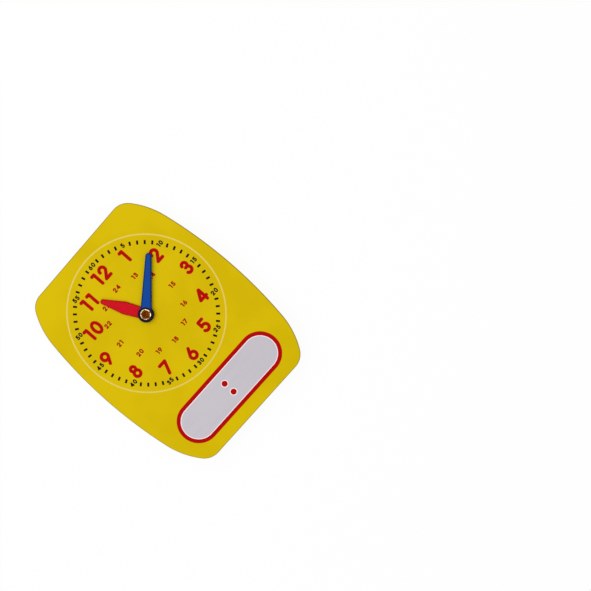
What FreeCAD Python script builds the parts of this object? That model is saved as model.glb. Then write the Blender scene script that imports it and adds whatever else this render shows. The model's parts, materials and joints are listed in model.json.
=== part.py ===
import FreeCAD, Part
import math
import os

os.makedirs("parts", exist_ok=True)

# Geared teaching clock. Lengths are in millimetres and angles in degrees.
# The arbor is the Z axis and the printed face of the dial plate is z = 0. +X points to three o'clock
# and +Y to twelve. The gearbox is behind the plate, and its rear face is what the clock lies on.

# Time that the hands show at rest, 8.65 minutes past eleven
minute_hand_angle = 51.9
full_hour_angle = 330.0

# Printed dial, from the arbor outwards
day_numeral_radius = 23.3
day_numeral_height = 3.0
day_numeral_stroke = 0.72
day_hour_gap = 5.6
hour_numeral_height = 9.0
hour_numeral_stroke = 2.0
hour_tick_gap = 1.65
tick_length = 2.4
tick_width = 1.2
tick_corner_radius = 0.2
minute_numeral_height = 2.9
minute_numeral_stroke = 0.7
tick_ring_gap = 3.0
ring_line_width = 0.9
ink_thickness = 0.06

# Printed writing panel under the dial, a little left of the arbor
panel_centre_x = -0.8
panel_ring_gap = 4.95
panel_height = 26.0
panel_side_margin = 14.6
panel_border_width = 2.4
colon_dot_radius = 1.87
colon_dot_spacing = 7.1

# Dial plate, a bulged sheet whose sides run through three tangent arcs into the straight ends
plate_thickness = 1.5
plate_side_margin = 8.05
plate_top_margin = 6.85
plate_bottom_margin = 8.1
plate_widest_drop = 19.8
plate_side_radius = 280.0
plate_shoulder_radius = 50.4
plate_end_radius = 11.35
plate_shoulder_end_angle = 34.4
plate_edge_radius = 0.25

# Hands
hand_thickness = 0.9
hour_hand_lift = 0.3
minute_hand_lift = 0.15
hour_hub_cover = 0.35
minute_hub_cover = 0.49
minute_tip_gap = 4.95
minute_root_half_width = 3.4
minute_tip_radius = 1.8
hour_tip_gap = 2.5
hour_root_half_width = 3.35
hour_shoulder_half_width = 3.8
hour_shoulder_place_share = 0.477
hour_tip_radius = 1.45

# Arbor stack, from the open bore outwards
bore_radius = 2.3
eyelet_wall = 0.3
eyelet_clearance = 0.05
sleeve_wall = 0.65
running_clearance = 0.06
pipe_wall = 0.7
plate_hole_clearance = 0.3
eyelet_roll_width = 1.05
nose_step = 0.15
nose_flat_depth = 0.2
seat_clearance = 0.02

# Gear train, two reductions on one centre distance
mesh_teeth = 60
first_step_ratio = 3
second_step_ratio = 4
pinion_rim = 0.45
pressure_angle = 20.0
pinion_addendum_share = 1.0
wheel_addendum_share = 0.75
dedendum_share = 1.25
tooth_thinning = 0.08
gear_width = 1.5
gear_layer_gap = 0.25
axial_play = 0.2
web_recess_depth = 0.35
web_rim = 1.6
web_hub_wall = 1.4

# Transfer pin
pin_radius = 1.0
pin_clearance = 0.05
pin_seat_depth = 0.7
pin_boss_radius = 2.4

# Adhesive pad
pad_thickness = 0.5
pad_inset = 1.0
pad_collar_gap = 0.8

# Gearbox shells
base_wall = 1.1
side_wall = 1.2
gear_side_gap = 1.7
box_corner_radius = 4.0
collar_wall = 1.9
cover_wall = 1.1
dish_wall = 1.0
dish_side_wall = 1.1
dish_washer_gap = 1.3
lip_height = 0.8
lip_wall = 0.8
lip_clearance = 0.1
lip_column_gap = 0.3

# Washers
friction_washer_thickness = 0.3
friction_washer_width = 2.3
rear_washer_thickness = 0.35
rear_washer_width = 1.9
washer_gap = 0.05
rear_roll_clearance = 0.2

# Cover screws
screw_shank_radius = 0.75
screw_head_radius = 1.5
screw_head_height = 0.85
screw_head_sink = 0.25
screw_hole_clearance = 0.2
screw_pilot_clearance = 0.02
screw_bite = 3.0
screw_tip_space = 0.4
screw_slot_width = 0.4
screw_slot_depth = 0.4
screw_slot_length_share = 0.7
column_radius = 2.2
column_corner_inset = 1.6
column_pad_height = 1.2

# Tools reach this far past what they cut
overrun = 1.0

# Radii of the dial
hour_numeral_radius = day_numeral_radius + day_numeral_height / 2 + day_hour_gap + hour_numeral_height / 2
track_radius = hour_numeral_radius + hour_numeral_height / 2 + hour_tick_gap + tick_length / 2
ring_inner_radius = track_radius + tick_length / 2 + tick_ring_gap
ring_outer_radius = ring_inner_radius + ring_line_width

# Plate and panel
plate_half_width = ring_outer_radius + plate_side_margin
plate_top = ring_outer_radius + plate_top_margin
panel_centre_y = -(ring_outer_radius + panel_ring_gap + panel_height / 2)
panel_half_width = plate_half_width - panel_side_margin
plate_bottom = -panel_centre_y + panel_height / 2 + plate_bottom_margin

# Radii of the arbor stack
eyelet_outer_radius = bore_radius + eyelet_wall
sleeve_bore_radius = eyelet_outer_radius + eyelet_clearance
sleeve_outer_radius = sleeve_bore_radius + sleeve_wall
pipe_bore_radius = sleeve_outer_radius + running_clearance
pipe_outer_radius = pipe_bore_radius + pipe_wall
plate_hole_radius = pipe_outer_radius + plate_hole_clearance
hour_hub_radius = plate_hole_radius + hour_hub_cover
minute_hub_radius = plate_hole_radius + minute_hub_cover

# Gear train
minute_pinion_teeth = mesh_teeth // (1 + first_step_ratio)
transfer_wheel_teeth = mesh_teeth - minute_pinion_teeth
transfer_pinion_teeth = mesh_teeth // (1 + second_step_ratio)
hour_wheel_teeth = mesh_teeth - transfer_pinion_teeth
gear_module = (sleeve_outer_radius + pinion_rim) / (minute_pinion_teeth / 2 - dedendum_share)
centre_distance = gear_module * mesh_teeth / 2
hour_wheel_tip_radius = gear_module * (hour_wheel_teeth / 2 + wheel_addendum_share)
transfer_wheel_tip_radius = gear_module * (transfer_wheel_teeth / 2 + wheel_addendum_share)
transfer_y = -centre_distance

# Heights in front of the plate
hour_hand_z = hour_hand_lift
hour_hand_top_z = hour_hand_z + hand_thickness
minute_hand_z = hour_hand_top_z + minute_hand_lift
minute_hand_top_z = minute_hand_z + hand_thickness

# Heights behind the plate
plate_back_z = -plate_thickness
base_front_z = plate_back_z - pad_thickness
base_inner_z = base_front_z - base_wall
hour_wheel_front_z = base_inner_z - axial_play
hour_wheel_back_z = hour_wheel_front_z - gear_width
pinion_front_z = hour_wheel_back_z - gear_layer_gap
pinion_back_z = pinion_front_z - gear_width
friction_front_z = pinion_back_z - washer_gap
dish_inner_z = friction_front_z - friction_washer_thickness
dish_outer_z = dish_inner_z - dish_wall
rear_washer_front_z = dish_outer_z - washer_gap
rear_washer_back_z = rear_washer_front_z - rear_washer_thickness
rest_z = rear_washer_back_z - eyelet_roll_width / 2 - rear_roll_clearance
cover_inner_z = rest_z + cover_wall

# Outline of the gearbox
box_half_width = hour_wheel_tip_radius + gear_side_gap + side_wall - lip_wall
box_top_y = box_half_width
box_bottom_y = transfer_y - transfer_wheel_tip_radius - gear_side_gap - side_wall
column_x = box_half_width - side_wall - column_corner_inset
column_top_y = box_top_y - side_wall - column_corner_inset
column_bottom_y = box_bottom_y + side_wall + column_corner_inset
column_places = [(x, y) for x in (-column_x, column_x) for y in (column_bottom_y, column_top_y)]
collar_radius = pipe_outer_radius + running_clearance + collar_wall
friction_washer_radius = sleeve_bore_radius + friction_washer_width
rear_washer_radius = sleeve_bore_radius + rear_washer_width
dish_radius = rear_washer_radius + dish_washer_gap
column_pad_z = cover_inner_z + column_pad_height
screw_seat_z = rest_z + screw_head_sink + screw_head_height

# Centres of the red numbers, in shares of the radius of their circle, as the print has them
hour_place_shares = {
    1: (0.49, 0.9), 2: (0.86, 0.53), 3: (1.04, 0.01), 4: (0.85, -0.49),
    5: (0.49, -0.85), 6: (0, -1.01), 7: (-0.47, -0.85), 8: (-0.87, -0.5),
    9: (-1.03, 0.01), 10: (-0.81, 0.48), 11: (-0.5, 0.84), 12: (-0.01, 0.99),
}
day_place_shares = {
    13: (0.53, 0.85), 14: (0.83, 0.53), 15: (0.99, 0), 16: (0.83, -0.53),
    17: (0.48, -0.85), 18: (-0.01, -0.97), 19: (-0.5, -0.85), 20: (-0.86, -0.52),
    21: (-1.02, 0.01), 22: (-0.86, 0.55), 23: (-0.55, 0.87), 24: (-0.01, 0.98),
}

# Space between two digits of a number, in shares of the numeral height
digit_gap_share = 0.16


def vector(x, y, z=0):
    """Return a point or direction."""
    return FreeCAD.Vector(x, y, z)


def polar(centre, radius, angle):
    """Return the point at a radius and an angle in degrees, counter-clockwise from +X, about a centre."""
    turn = math.radians(angle)
    return (centre[0] + radius * math.cos(turn), centre[1] + radius * math.sin(turn))


def line(start, end):
    """Return a straight edge in the plane."""
    return Part.LineSegment(vector(*start), vector(*end)).toShape()


def arc(centre, radius, start_angle, end_angle):
    """Return the arc that runs from one angle to another, either way round."""
    middle_angle = (start_angle + end_angle) / 2
    points = [vector(*polar(centre, radius, angle)) for angle in (start_angle, middle_angle, end_angle)]
    return Part.Arc(*points).toShape()


def face_of(edges):
    """Return the flat face inside a closed run of edges."""
    return Part.Face(Part.Wire(edges))


def disc(radius, centre=(0, 0)):
    """Return a round face."""
    return face_of([Part.Circle(vector(*centre), vector(0, 0, 1), radius).toShape()])


def ring(outer_radius, inner_radius, centre=(0, 0)):
    """Return a flat ring."""
    return disc(outer_radius, centre).cut(disc(inner_radius, centre))


def prism(face, low_z, high_z):
    """Return the solid that a face in the plane z = 0 sweeps between two heights."""
    lowered = face.copy()
    lowered.translate(vector(0, 0, low_z))
    swept = lowered.extrude(vector(0, 0, high_z - low_z))
    return swept.Solids[0] if len(swept.Solids) == 1 else Part.makeCompound(swept.Solids)


def cylinder(radius, low_z, high_z, centre=(0, 0)):
    """Return an upright cylinder."""
    return prism(disc(radius, centre), low_z, high_z)


def united(faces):
    """Return flat faces joined into one, with no seams left."""
    if len(faces) == 1:
        return faces[0]
    return faces[0].fuse(faces[1:]).removeSplitter()


def tapered_bar(start, start_radius, end, end_radius):
    """Return the band round two discs, as a rubber band would lie."""
    length = math.dist(start, end)
    heading = math.degrees(math.atan2(end[1] - start[1], end[0] - start[0]))
    lean = math.degrees(math.acos((start_radius - end_radius) / length))
    left, right = heading + lean, heading - lean
    return face_of([
        line(polar(start, start_radius, right), polar(end, end_radius, right)),
        arc(end, end_radius, right, left),
        line(polar(end, end_radius, left), polar(start, start_radius, left)),
        arc(start, start_radius, left, right + 360),
    ])


def rounded_box(half_width, bottom_y, top_y, corner_radius):
    """Return an upright rectangle about x = 0 with round corners."""
    reach = half_width - corner_radius
    low, high = bottom_y + corner_radius, top_y - corner_radius
    corners = [((reach, low), -90), ((reach, high), 0), ((-reach, high), 90), ((-reach, low), 180)]
    edges = []
    for index, (centre, angle) in enumerate(corners):
        next_centre, next_angle = corners[(index + 1) % len(corners)]
        side_start = polar(centre, corner_radius, angle + 90)
        edges.append(arc(centre, corner_radius, angle, angle + 90))
        edges.append(line(side_start, polar(next_centre, corner_radius, next_angle)))
    return face_of(edges)


def box_outline(inset):
    """Return the gearbox outline, drawn in by an inset from its outer faces."""
    bottom_y, top_y = box_bottom_y + inset, box_top_y - inset
    return rounded_box(box_half_width - inset, bottom_y, top_y, box_corner_radius - inset)


# Numerals, drawn with a round pen

def pen_line(start, end, pen_radius):
    """Return a straight pen stroke with round ends."""
    return tapered_bar(start, pen_radius, end, pen_radius)


def pen_arc(centre, radius, start_angle, end_angle, pen_radius):
    """Return a curved pen stroke with round ends, from the start angle up to the end angle."""
    outer, inner = radius + pen_radius, radius - pen_radius
    return face_of([
        arc(centre, outer, start_angle, end_angle),
        arc(polar(centre, radius, end_angle), pen_radius, end_angle, end_angle + 180),
        arc(centre, inner, end_angle, start_angle),
        arc(polar(centre, radius, start_angle), pen_radius, start_angle - 180, start_angle),
    ])


def oval(centre, half_width, half_height):
    """Return an upright oval face."""
    if half_width == half_height:
        return disc(half_width, centre)
    outline = Part.Ellipse(vector(*centre), half_height, half_width)
    outline.XAxis = vector(0, 1, 0)
    return face_of([outline.toShape()])


# Pen paths of the digits in shares of the pen's height, from the lowest and leftmost place of its centre
two_bowl_shares = ((0.283, 0.717), 0.283)
two_neck_angle = -43
three_top_shares = ((0.276, 0.768), 0.232)
three_bottom_shares = ((0.276, 0.268), 0.268)
five_bowl_shares = ((0.310, 0.303), 0.303)
five_bowl_start_angle = 130
six_centre_share = 0.303
six_neck_shares = ((six_centre_share, six_centre_share), 0.293)
six_neck_angle = 149
six_tip_share = 0.40

digit_shares = {
    "0": [("loop", (0.314, 0.5), 0.314, 0.5)],
    "1": [("line", (0, 1), (0.25, 1)), ("line", (0.25, 1), (0.25, 0))],
    "2": [("arc", *two_bowl_shares, two_neck_angle, 180),
          ("line", polar(*two_bowl_shares, two_neck_angle), (0, 0)),
          ("line", (0, 0), (0.56, 0))],
    "3": [("arc", *three_top_shares, -90, 165), ("arc", *three_bottom_shares, -150, 90),
          ("line", (0.19, 0.536), (0.276, 0.536))],
    "4": [("line", (0.50, 1), (0, 0.262)), ("line", (0, 0.262), (0.70, 0.262)),
          ("line", (0.54, 1), (0.54, 0)), ("line", (0.50, 1), (0.54, 1))],
    "5": [("line", (0.58, 1), (0.13, 1)),
          ("line", (0.13, 1), polar(*five_bowl_shares, five_bowl_start_angle)),
          ("arc", *five_bowl_shares, -148, five_bowl_start_angle)],
    "6": [("loop", (six_centre_share, six_centre_share), six_centre_share, six_centre_share),
          ("line", polar(*six_neck_shares, six_neck_angle), (six_tip_share, 1))],
    "7": [("line", (0, 1), (0.635, 1)), ("line", (0.635, 1), (0.152, 0))],
    "8": [("loop", (0.280, 0.780), 0.220, 0.220), ("loop", (0.280, 0.280), 0.280, 0.280)],
}


def stroke_faces(stroke, scale, pen_radius):
    """Return the inked faces of one pen stroke at its real size, and the faces that it goes round."""
    kind, *values = stroke
    if kind == "line":
        start, end = [(x * scale, y * scale) for x, y in values]
        return [pen_line(start, end, pen_radius)], []
    centre = (values[0][0] * scale, values[0][1] * scale)
    if kind == "arc":
        return [pen_arc(centre, values[1] * scale, values[2], values[3], pen_radius)], []
    half_width, half_height = values[1] * scale, values[2] * scale
    inked = oval(centre, half_width + pen_radius, half_height + pen_radius)
    return [inked], [oval(centre, half_width - pen_radius, half_height - pen_radius)]


def digit_face(digit, height, stroke):
    """Return a digit as one face, its lower left corner at the origin."""
    pen_radius = stroke / 2
    scale = height - stroke
    if digit == "9":
        face = digit_face("6", height, stroke)
        face.rotate(vector(0, 0), vector(0, 0, 1), 180)
        face.translate(vector(2 * six_centre_share * scale + stroke, height))
        return face
    inked, bare = [], []
    for item in digit_shares[digit]:
        inked_faces, bare_faces = stroke_faces(item, scale, pen_radius)
        inked += inked_faces
        bare += bare_faces
    face = united(inked)
    if bare:
        face = face.cut(bare)
    face.translate(vector(pen_radius, pen_radius))
    return face


def number_faces(text, height, stroke, centre):
    """Return the digits of a number, side by side, with their common box about a centre."""
    faces = []
    pen_x = 0
    for digit in text:
        face = digit_face(digit, height, stroke)
        face.translate(vector(pen_x, 0))
        pen_x += face.BoundBox.XLength + digit_gap_share * height
        faces.append(face)
    width = pen_x - digit_gap_share * height
    for face in faces:
        face.translate(vector(centre[0] - width / 2, centre[1] - height / 2))
    return faces


def printed(faces):
    """Return faces as one thin layer of ink on the plate."""
    solids = [solid for face in faces for solid in prism(face, 0, ink_thickness).Solids]
    return Part.makeCompound(solids)


def printed_numbers(place_shares, radius, height, stroke):
    """Return printed numbers, each about its own place on the dial."""
    faces = []
    for number, (x_share, y_share) in place_shares.items():
        faces += number_faces(str(number), height, stroke, (x_share * radius, y_share * radius))
    return printed(faces)


# Printed layers

def dial_ring():
    """Return the pale line round the dial."""
    return printed([ring(ring_outer_radius, ring_inner_radius)])


def minute_ticks():
    """Return a short oblong mark at every minute that has no number."""
    inner, outer = track_radius - tick_length / 2, track_radius + tick_length / 2
    marks = []
    for minute in range(60):
        if minute % 5 == 0:
            continue
        mark = rounded_box(tick_width / 2, inner, outer, tick_corner_radius)
        mark.rotate(vector(0, 0), vector(0, 0, 1), -6 * minute)
        marks.append(mark)
    return printed(marks)


def minute_numerals():
    """Return 5, 10 ... 60 in the minute track."""
    place_shares = {5 * hour: polar((0, 0), 1, 90 - 30 * hour) for hour in range(1, 13)}
    return printed_numbers(place_shares, track_radius, minute_numeral_height, minute_numeral_stroke)


def hour_numerals():
    """Return the large 1 to 12."""
    return printed_numbers(hour_place_shares, hour_numeral_radius, hour_numeral_height, hour_numeral_stroke)


def day_hour_numerals():
    """Return the small 13 to 24 for the hours after noon."""
    return printed_numbers(day_place_shares, day_numeral_radius, day_numeral_height, day_numeral_stroke)


def panel_face(inset):
    """Return the round-ended writing panel, drawn in by an inset."""
    reach = panel_half_width - panel_height / 2
    radius = panel_height / 2 - inset
    ends = [(panel_centre_x + side * reach, panel_centre_y) for side in (-1, 1)]
    return tapered_bar(ends[0], radius, ends[1], radius)


def colon_dots():
    """Return the two dots that part hours from minutes."""
    rise = colon_dot_spacing / 2
    return [disc(colon_dot_radius, (panel_centre_x, panel_centre_y + side * rise)) for side in (-1, 1)]


def writing_panel():
    """Return the pale area to write on, with room for the printed dots."""
    return printed([panel_face(panel_border_width).cut(colon_dots())])


def panel_border():
    """Return the red line round the writing panel."""
    return printed([panel_face(0).cut(panel_face(panel_border_width))])


def panel_colon():
    """Return the two printed dots."""
    return printed(colon_dots())


# Plate

def plate_side_points(height):
    """Return the arcs of one quarter of the plate outline, as (centre, radius, start, end angle).

    The quarter runs from the widest place on the right, at (half width, 0), to a straight end at a height.
    """
    shoulder_sine = math.sin(math.radians(plate_shoulder_end_angle))
    rise = height - plate_shoulder_radius * shoulder_sine - plate_end_radius * (1 - shoulder_sine)
    side_end = math.degrees(math.asin(rise / (plate_side_radius - plate_shoulder_radius)))
    side_centre = (plate_half_width - plate_side_radius, 0)
    shoulder_centre = polar(side_centre, plate_side_radius - plate_shoulder_radius, side_end)
    end_centre = polar(shoulder_centre, plate_shoulder_radius - plate_end_radius, plate_shoulder_end_angle)
    return [
        (side_centre, plate_side_radius, 0, side_end),
        (shoulder_centre, plate_shoulder_radius, side_end, plate_shoulder_end_angle),
        (end_centre, plate_end_radius, plate_shoulder_end_angle, 90),
    ]


def plate_quarter(height, x_side, y_side):
    """Return one quarter's arcs as edges, mirrored to its side and moved to the widest place."""
    edges = []
    for centre, radius, start, end in plate_side_points(height):
        points = [polar(centre, radius, angle) for angle in (start, (start + end) / 2, end)]
        placed = [vector(x_side * x, y_side * y - plate_widest_drop) for x, y in points]
        edges.append(Part.Arc(*placed).toShape())
    return edges


def plate_outline():
    """Return the outline face of the dial plate."""
    edges = []
    flat_ends = []
    for y_side, height in ((1, plate_top + plate_widest_drop), (-1, plate_bottom - plate_widest_drop)):
        flat_x = plate_side_points(height)[-1][0][0]
        flat_y = y_side * height - plate_widest_drop
        flat_ends.append(line((-flat_x, flat_y), (flat_x, flat_y)))
        for x_side in (1, -1):
            edges += plate_quarter(height, x_side, y_side)
    return Part.Face(Part.Wire(Part.__sortEdges__(edges + flat_ends)))


def dial_plate():
    """Return the sheet, with softly rounded edges and the hole for the hour pipe."""
    sheet = prism(plate_outline(), plate_back_z, 0)
    rims = [edge for edge in sheet.Edges if abs(edge.BoundBox.ZLength) < plate_edge_radius]
    sheet = sheet.makeFillet(plate_edge_radius, rims)
    return sheet.cut(cylinder(plate_hole_radius, plate_back_z - overrun, overrun))


# Hands

def flatted_disc(radius, flat_depth):
    """Return a disc with a flat on both sides, for a hole or nose that must not turn."""
    half = radius - flat_depth
    reach = math.sqrt(radius ** 2 - half ** 2)
    lean = math.degrees(math.acos(half / radius))
    return face_of([
        line((half, -reach), (half, reach)),
        arc((0, 0), radius, lean, 180 - lean),
        line((-half, reach), (-half, -reach)),
        arc((0, 0), radius, 180 + lean, 360 - lean),
    ])


def turned_to(shape, clock_angle):
    """Return a shape that points to twelve, turned clockwise by an angle."""
    turned = shape.copy()
    turned.rotate(vector(0, 0), vector(0, 0, 1), -clock_angle)
    return turned


hour_hand_angle = full_hour_angle + minute_hand_angle / (first_step_ratio * second_step_ratio)
minute_nose_radius = sleeve_outer_radius - nose_step
hour_nose_radius = pipe_outer_radius - nose_step


def minute_hand():
    """Return the long hand: a round hub and a tapered arm."""
    tip_y = track_radius - tick_length / 2 - minute_tip_gap - minute_tip_radius
    arm = tapered_bar((0, 0), minute_root_half_width, (0, tip_y), minute_tip_radius)
    outline = united([disc(minute_hub_radius), arm])
    seat = flatted_disc(minute_nose_radius + seat_clearance, nose_flat_depth)
    return turned_to(prism(outline.cut(seat), minute_hand_z, minute_hand_top_z), minute_hand_angle)


def hour_hand():
    """Return the short hand: a round hub and a leaf that is widest near its middle."""
    length = hour_numeral_radius - hour_numeral_height / 2 - hour_tip_gap
    shoulder = (0, hour_shoulder_place_share * length)
    tip = (0, length - hour_tip_radius)
    outline = united([
        disc(hour_hub_radius),
        tapered_bar((0, 0), hour_root_half_width, shoulder, hour_shoulder_half_width),
        tapered_bar(shoulder, hour_shoulder_half_width, tip, hour_tip_radius),
    ])
    seat = flatted_disc(hour_nose_radius + seat_clearance, nose_flat_depth)
    return turned_to(prism(outline.cut(seat), hour_hand_z, hour_hand_top_z), hour_hand_angle)


def hub_eyelet():
    """Return the hollow eyelet, rolled outwards over the minute hand and over the rear washer."""
    roll_radius = eyelet_roll_width / 2
    edges = []
    for seat_z, side in ((minute_hand_top_z, 1), (rear_washer_back_z, -1)):
        middle = bore_radius + roll_radius
        for radius in (roll_radius, roll_radius - eyelet_wall):
            start = vector(middle - radius, 0, seat_z)
            crown = vector(middle, 0, seat_z + side * radius)
            edges.append(Part.Arc(start, crown, vector(middle + radius, 0, seat_z)).toShape())
        rim_start, rim_end = middle + roll_radius - eyelet_wall, middle + roll_radius
        edges.append(Part.LineSegment(vector(rim_start, 0, seat_z), vector(rim_end, 0, seat_z)).toShape())
    for radius in (bore_radius, eyelet_outer_radius):
        low, high = vector(radius, 0, rear_washer_back_z), vector(radius, 0, minute_hand_top_z)
        edges.append(Part.LineSegment(low, high).toShape())
    section = Part.Face(Part.Wire(Part.__sortEdges__(edges)))
    return section.revolve(vector(0, 0), vector(0, 0, 1), 360)


# Gears

def involute(angle):
    """Return the involute function of an angle in radians."""
    return math.tan(angle) - angle


def gear_face(teeth, addendum_share, tooth_angle):
    """Return a spur gear about the origin with one tooth centred on an angle in degrees."""
    pitch_radius = gear_module * teeth / 2
    base_radius = pitch_radius * math.cos(math.radians(pressure_angle))
    root_radius = pitch_radius - dedendum_share * gear_module
    tip_radius = pitch_radius + addendum_share * gear_module
    start_radius = max(base_radius, root_radius)
    half_at_pitch = (math.pi * gear_module / 2 - tooth_thinning) / (2 * pitch_radius)
    half_at_base = half_at_pitch + involute(math.radians(pressure_angle))

    def half_angle(radius):
        return math.degrees(half_at_base - involute(math.acos(base_radius / radius)))

    middle_radius = (start_radius + tip_radius) / 2
    origin = (0, 0)
    edges = []
    for tooth in range(teeth):
        centre = tooth_angle + 360 * tooth / teeth
        next_centre = centre + 360 / teeth
        root_half, middle_half, tip_half = [half_angle(r) for r in (start_radius, middle_radius, tip_radius)]
        flank_radii = ((start_radius, root_half), (middle_radius, middle_half), (tip_radius, tip_half))
        rising = [vector(*polar(origin, radius, centre - half)) for radius, half in flank_radii]
        falling = [vector(*polar(origin, radius, centre + half)) for radius, half in reversed(flank_radii)]
        if start_radius > root_radius:
            edges.append(line(polar(origin, root_radius, centre - root_half),
                              polar(origin, start_radius, centre - root_half)))
        edges.append(Part.Arc(*rising).toShape())
        edges.append(arc(origin, tip_radius, centre - tip_half, centre + tip_half))
        edges.append(Part.Arc(*falling).toShape())
        if start_radius > root_radius:
            edges.append(line(polar(origin, start_radius, centre + root_half),
                              polar(origin, root_radius, centre + root_half)))
        edges.append(arc(origin, root_radius, centre + root_half, next_centre - root_half))
    return face_of(edges)


def web_recess(teeth, hub_radius, face_z, side):
    """Return the ring that is cut into one face of a wheel to thin its web."""
    rim_radius = gear_module * (teeth / 2 - dedendum_share) - web_rim
    floor_z = face_z - side * web_recess_depth
    open_z = face_z + side * overrun
    return prism(ring(rim_radius, hub_radius), min(floor_z, open_z), max(floor_z, open_z))


def minute_arbor():
    """Return the sleeve on the eyelet, with the minute pinion behind and the seat of the hand in front."""
    pinion = prism(gear_face(minute_pinion_teeth, pinion_addendum_share, -90), pinion_back_z, pinion_front_z)
    sleeve = cylinder(sleeve_outer_radius, pinion_back_z, minute_hand_z)
    nose = prism(flatted_disc(minute_nose_radius, nose_flat_depth), minute_hand_z, minute_hand_top_z)
    nose = turned_to(nose, minute_hand_angle)
    bore = cylinder(sleeve_bore_radius, pinion_back_z - overrun, minute_hand_top_z + overrun)
    return pinion.fuse([sleeve, nose]).cut(bore).removeSplitter()


def hour_wheel():
    """Return the hour wheel, with the pipe through the plate and the seat of the hand at its end."""
    gap_angle = -90 + 180 / hour_wheel_teeth
    toothed = gear_face(hour_wheel_teeth, wheel_addendum_share, gap_angle)
    wheel = prism(toothed, hour_wheel_back_z, hour_wheel_front_z)
    hub_radius = pipe_outer_radius + web_hub_wall
    recess = web_recess(hour_wheel_teeth, hub_radius, hour_wheel_front_z, 1)
    pipe = cylinder(pipe_outer_radius, hour_wheel_back_z, hour_hand_z)
    nose = prism(flatted_disc(hour_nose_radius, nose_flat_depth), hour_hand_z, hour_hand_top_z)
    nose = turned_to(nose, hour_hand_angle)
    bore = cylinder(pipe_bore_radius, hour_wheel_back_z - overrun, hour_hand_top_z + overrun)
    return wheel.cut(recess).fuse([pipe, nose]).cut(bore).removeSplitter()


def transfer_gear():
    """Return the wheel and pinion that turn together on the transfer pin."""
    gap_angle = 90 + 180 / transfer_wheel_teeth
    toothed = gear_face(transfer_wheel_teeth, wheel_addendum_share, gap_angle)
    wheel = prism(toothed, pinion_back_z, pinion_front_z)
    recess = web_recess(transfer_wheel_teeth, pin_boss_radius + web_hub_wall, pinion_back_z, -1)
    toothed = gear_face(transfer_pinion_teeth, pinion_addendum_share, 90)
    pinion = prism(toothed, pinion_front_z, hour_wheel_front_z)
    bore = cylinder(pin_radius + pin_clearance, pinion_back_z - overrun, hour_wheel_front_z + overrun)
    gear = wheel.cut(recess).fuse(pinion).cut(bore).removeSplitter()
    gear.translate(vector(0, transfer_y))
    return gear


def transfer_pin():
    """Return the axle of the transfer gear, seated in both shells."""
    low_z = pinion_back_z - axial_play - pin_seat_depth
    return cylinder(pin_radius, low_z, base_inner_z + pin_seat_depth, (0, transfer_y))


# Gearbox shells

def gearbox_base():
    """Return the front shell: wall, skirt, bearing collar and screw columns."""
    shell = prism(box_outline(0), cover_inner_z, base_front_z)
    shell = shell.cut(prism(box_outline(side_wall), cover_inner_z - overrun, base_inner_z))
    columns = [cylinder(column_radius, column_pad_z, base_inner_z + base_wall / 2, place)
               for place in column_places]
    inside = prism(box_outline(side_wall / 2), cover_inner_z, base_front_z)
    columns = [column.common(inside) for column in columns]
    collar = cylinder(collar_radius, base_front_z - base_wall / 2, plate_back_z)
    shell = shell.fuse(columns + [collar]).removeSplitter()
    bearing_radius = pipe_outer_radius + running_clearance
    pilot_radius = screw_shank_radius + screw_pilot_clearance
    pilot_top_z = column_pad_z + screw_bite + screw_tip_space
    cuts = [cylinder(bearing_radius, base_inner_z - overrun, plate_back_z + overrun),
            cylinder(pin_radius + seat_clearance, base_inner_z - overrun, base_inner_z + pin_seat_depth,
                     (0, transfer_y))]
    cuts += [cylinder(pilot_radius, column_pad_z - overrun, pilot_top_z, place) for place in column_places]
    return shell.cut(cuts)


def locating_lip():
    """Return the low rim on the cover that fits inside the skirt and stops short of the columns."""
    outer = box_outline(side_wall + lip_clearance)
    inner = box_outline(side_wall + lip_clearance + lip_wall)
    lip_top_z = cover_inner_z + lip_height
    lip = prism(outer.cut(inner), cover_inner_z - cover_wall / 2, lip_top_z)
    gaps = [cylinder(column_radius + lip_column_gap, cover_inner_z, lip_top_z + overrun, place)
            for place in column_places]
    return lip.cut(gaps)


def gearbox_cover():
    """Return the rear shell: wall, lip, screw pads, pin boss and the dish round the eyelet."""
    plate = prism(box_outline(0), rest_z, cover_inner_z)
    inside = prism(box_outline(side_wall + lip_clearance), rest_z, column_pad_z)
    pads = [cylinder(column_radius, rest_z + cover_wall / 2, column_pad_z, place).common(inside)
            for place in column_places]
    boss_top_z = pinion_back_z - axial_play
    boss = cylinder(pin_boss_radius, rest_z + cover_wall / 2, boss_top_z, (0, transfer_y))
    dish = cylinder(dish_radius + dish_side_wall, rest_z + cover_wall / 2, dish_inner_z)
    cover = plate.fuse([locating_lip(), boss, dish] + pads).removeSplitter()
    cuts = [cylinder(dish_radius, rest_z - overrun, dish_outer_z),
            cylinder(eyelet_outer_radius + running_clearance, rest_z - overrun, dish_inner_z + overrun),
            cylinder(pin_radius + seat_clearance, boss_top_z - pin_seat_depth, boss_top_z + overrun,
                     (0, transfer_y))]
    shank_hole_radius = screw_shank_radius + screw_hole_clearance
    head_hole_radius = screw_head_radius + screw_hole_clearance
    for place in column_places:
        cuts.append(cylinder(shank_hole_radius, rest_z - overrun, column_pad_z + overrun, place))
        cuts.append(cylinder(head_hole_radius, rest_z - overrun, screw_seat_z, place))
    return cover.cut(cuts)


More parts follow.
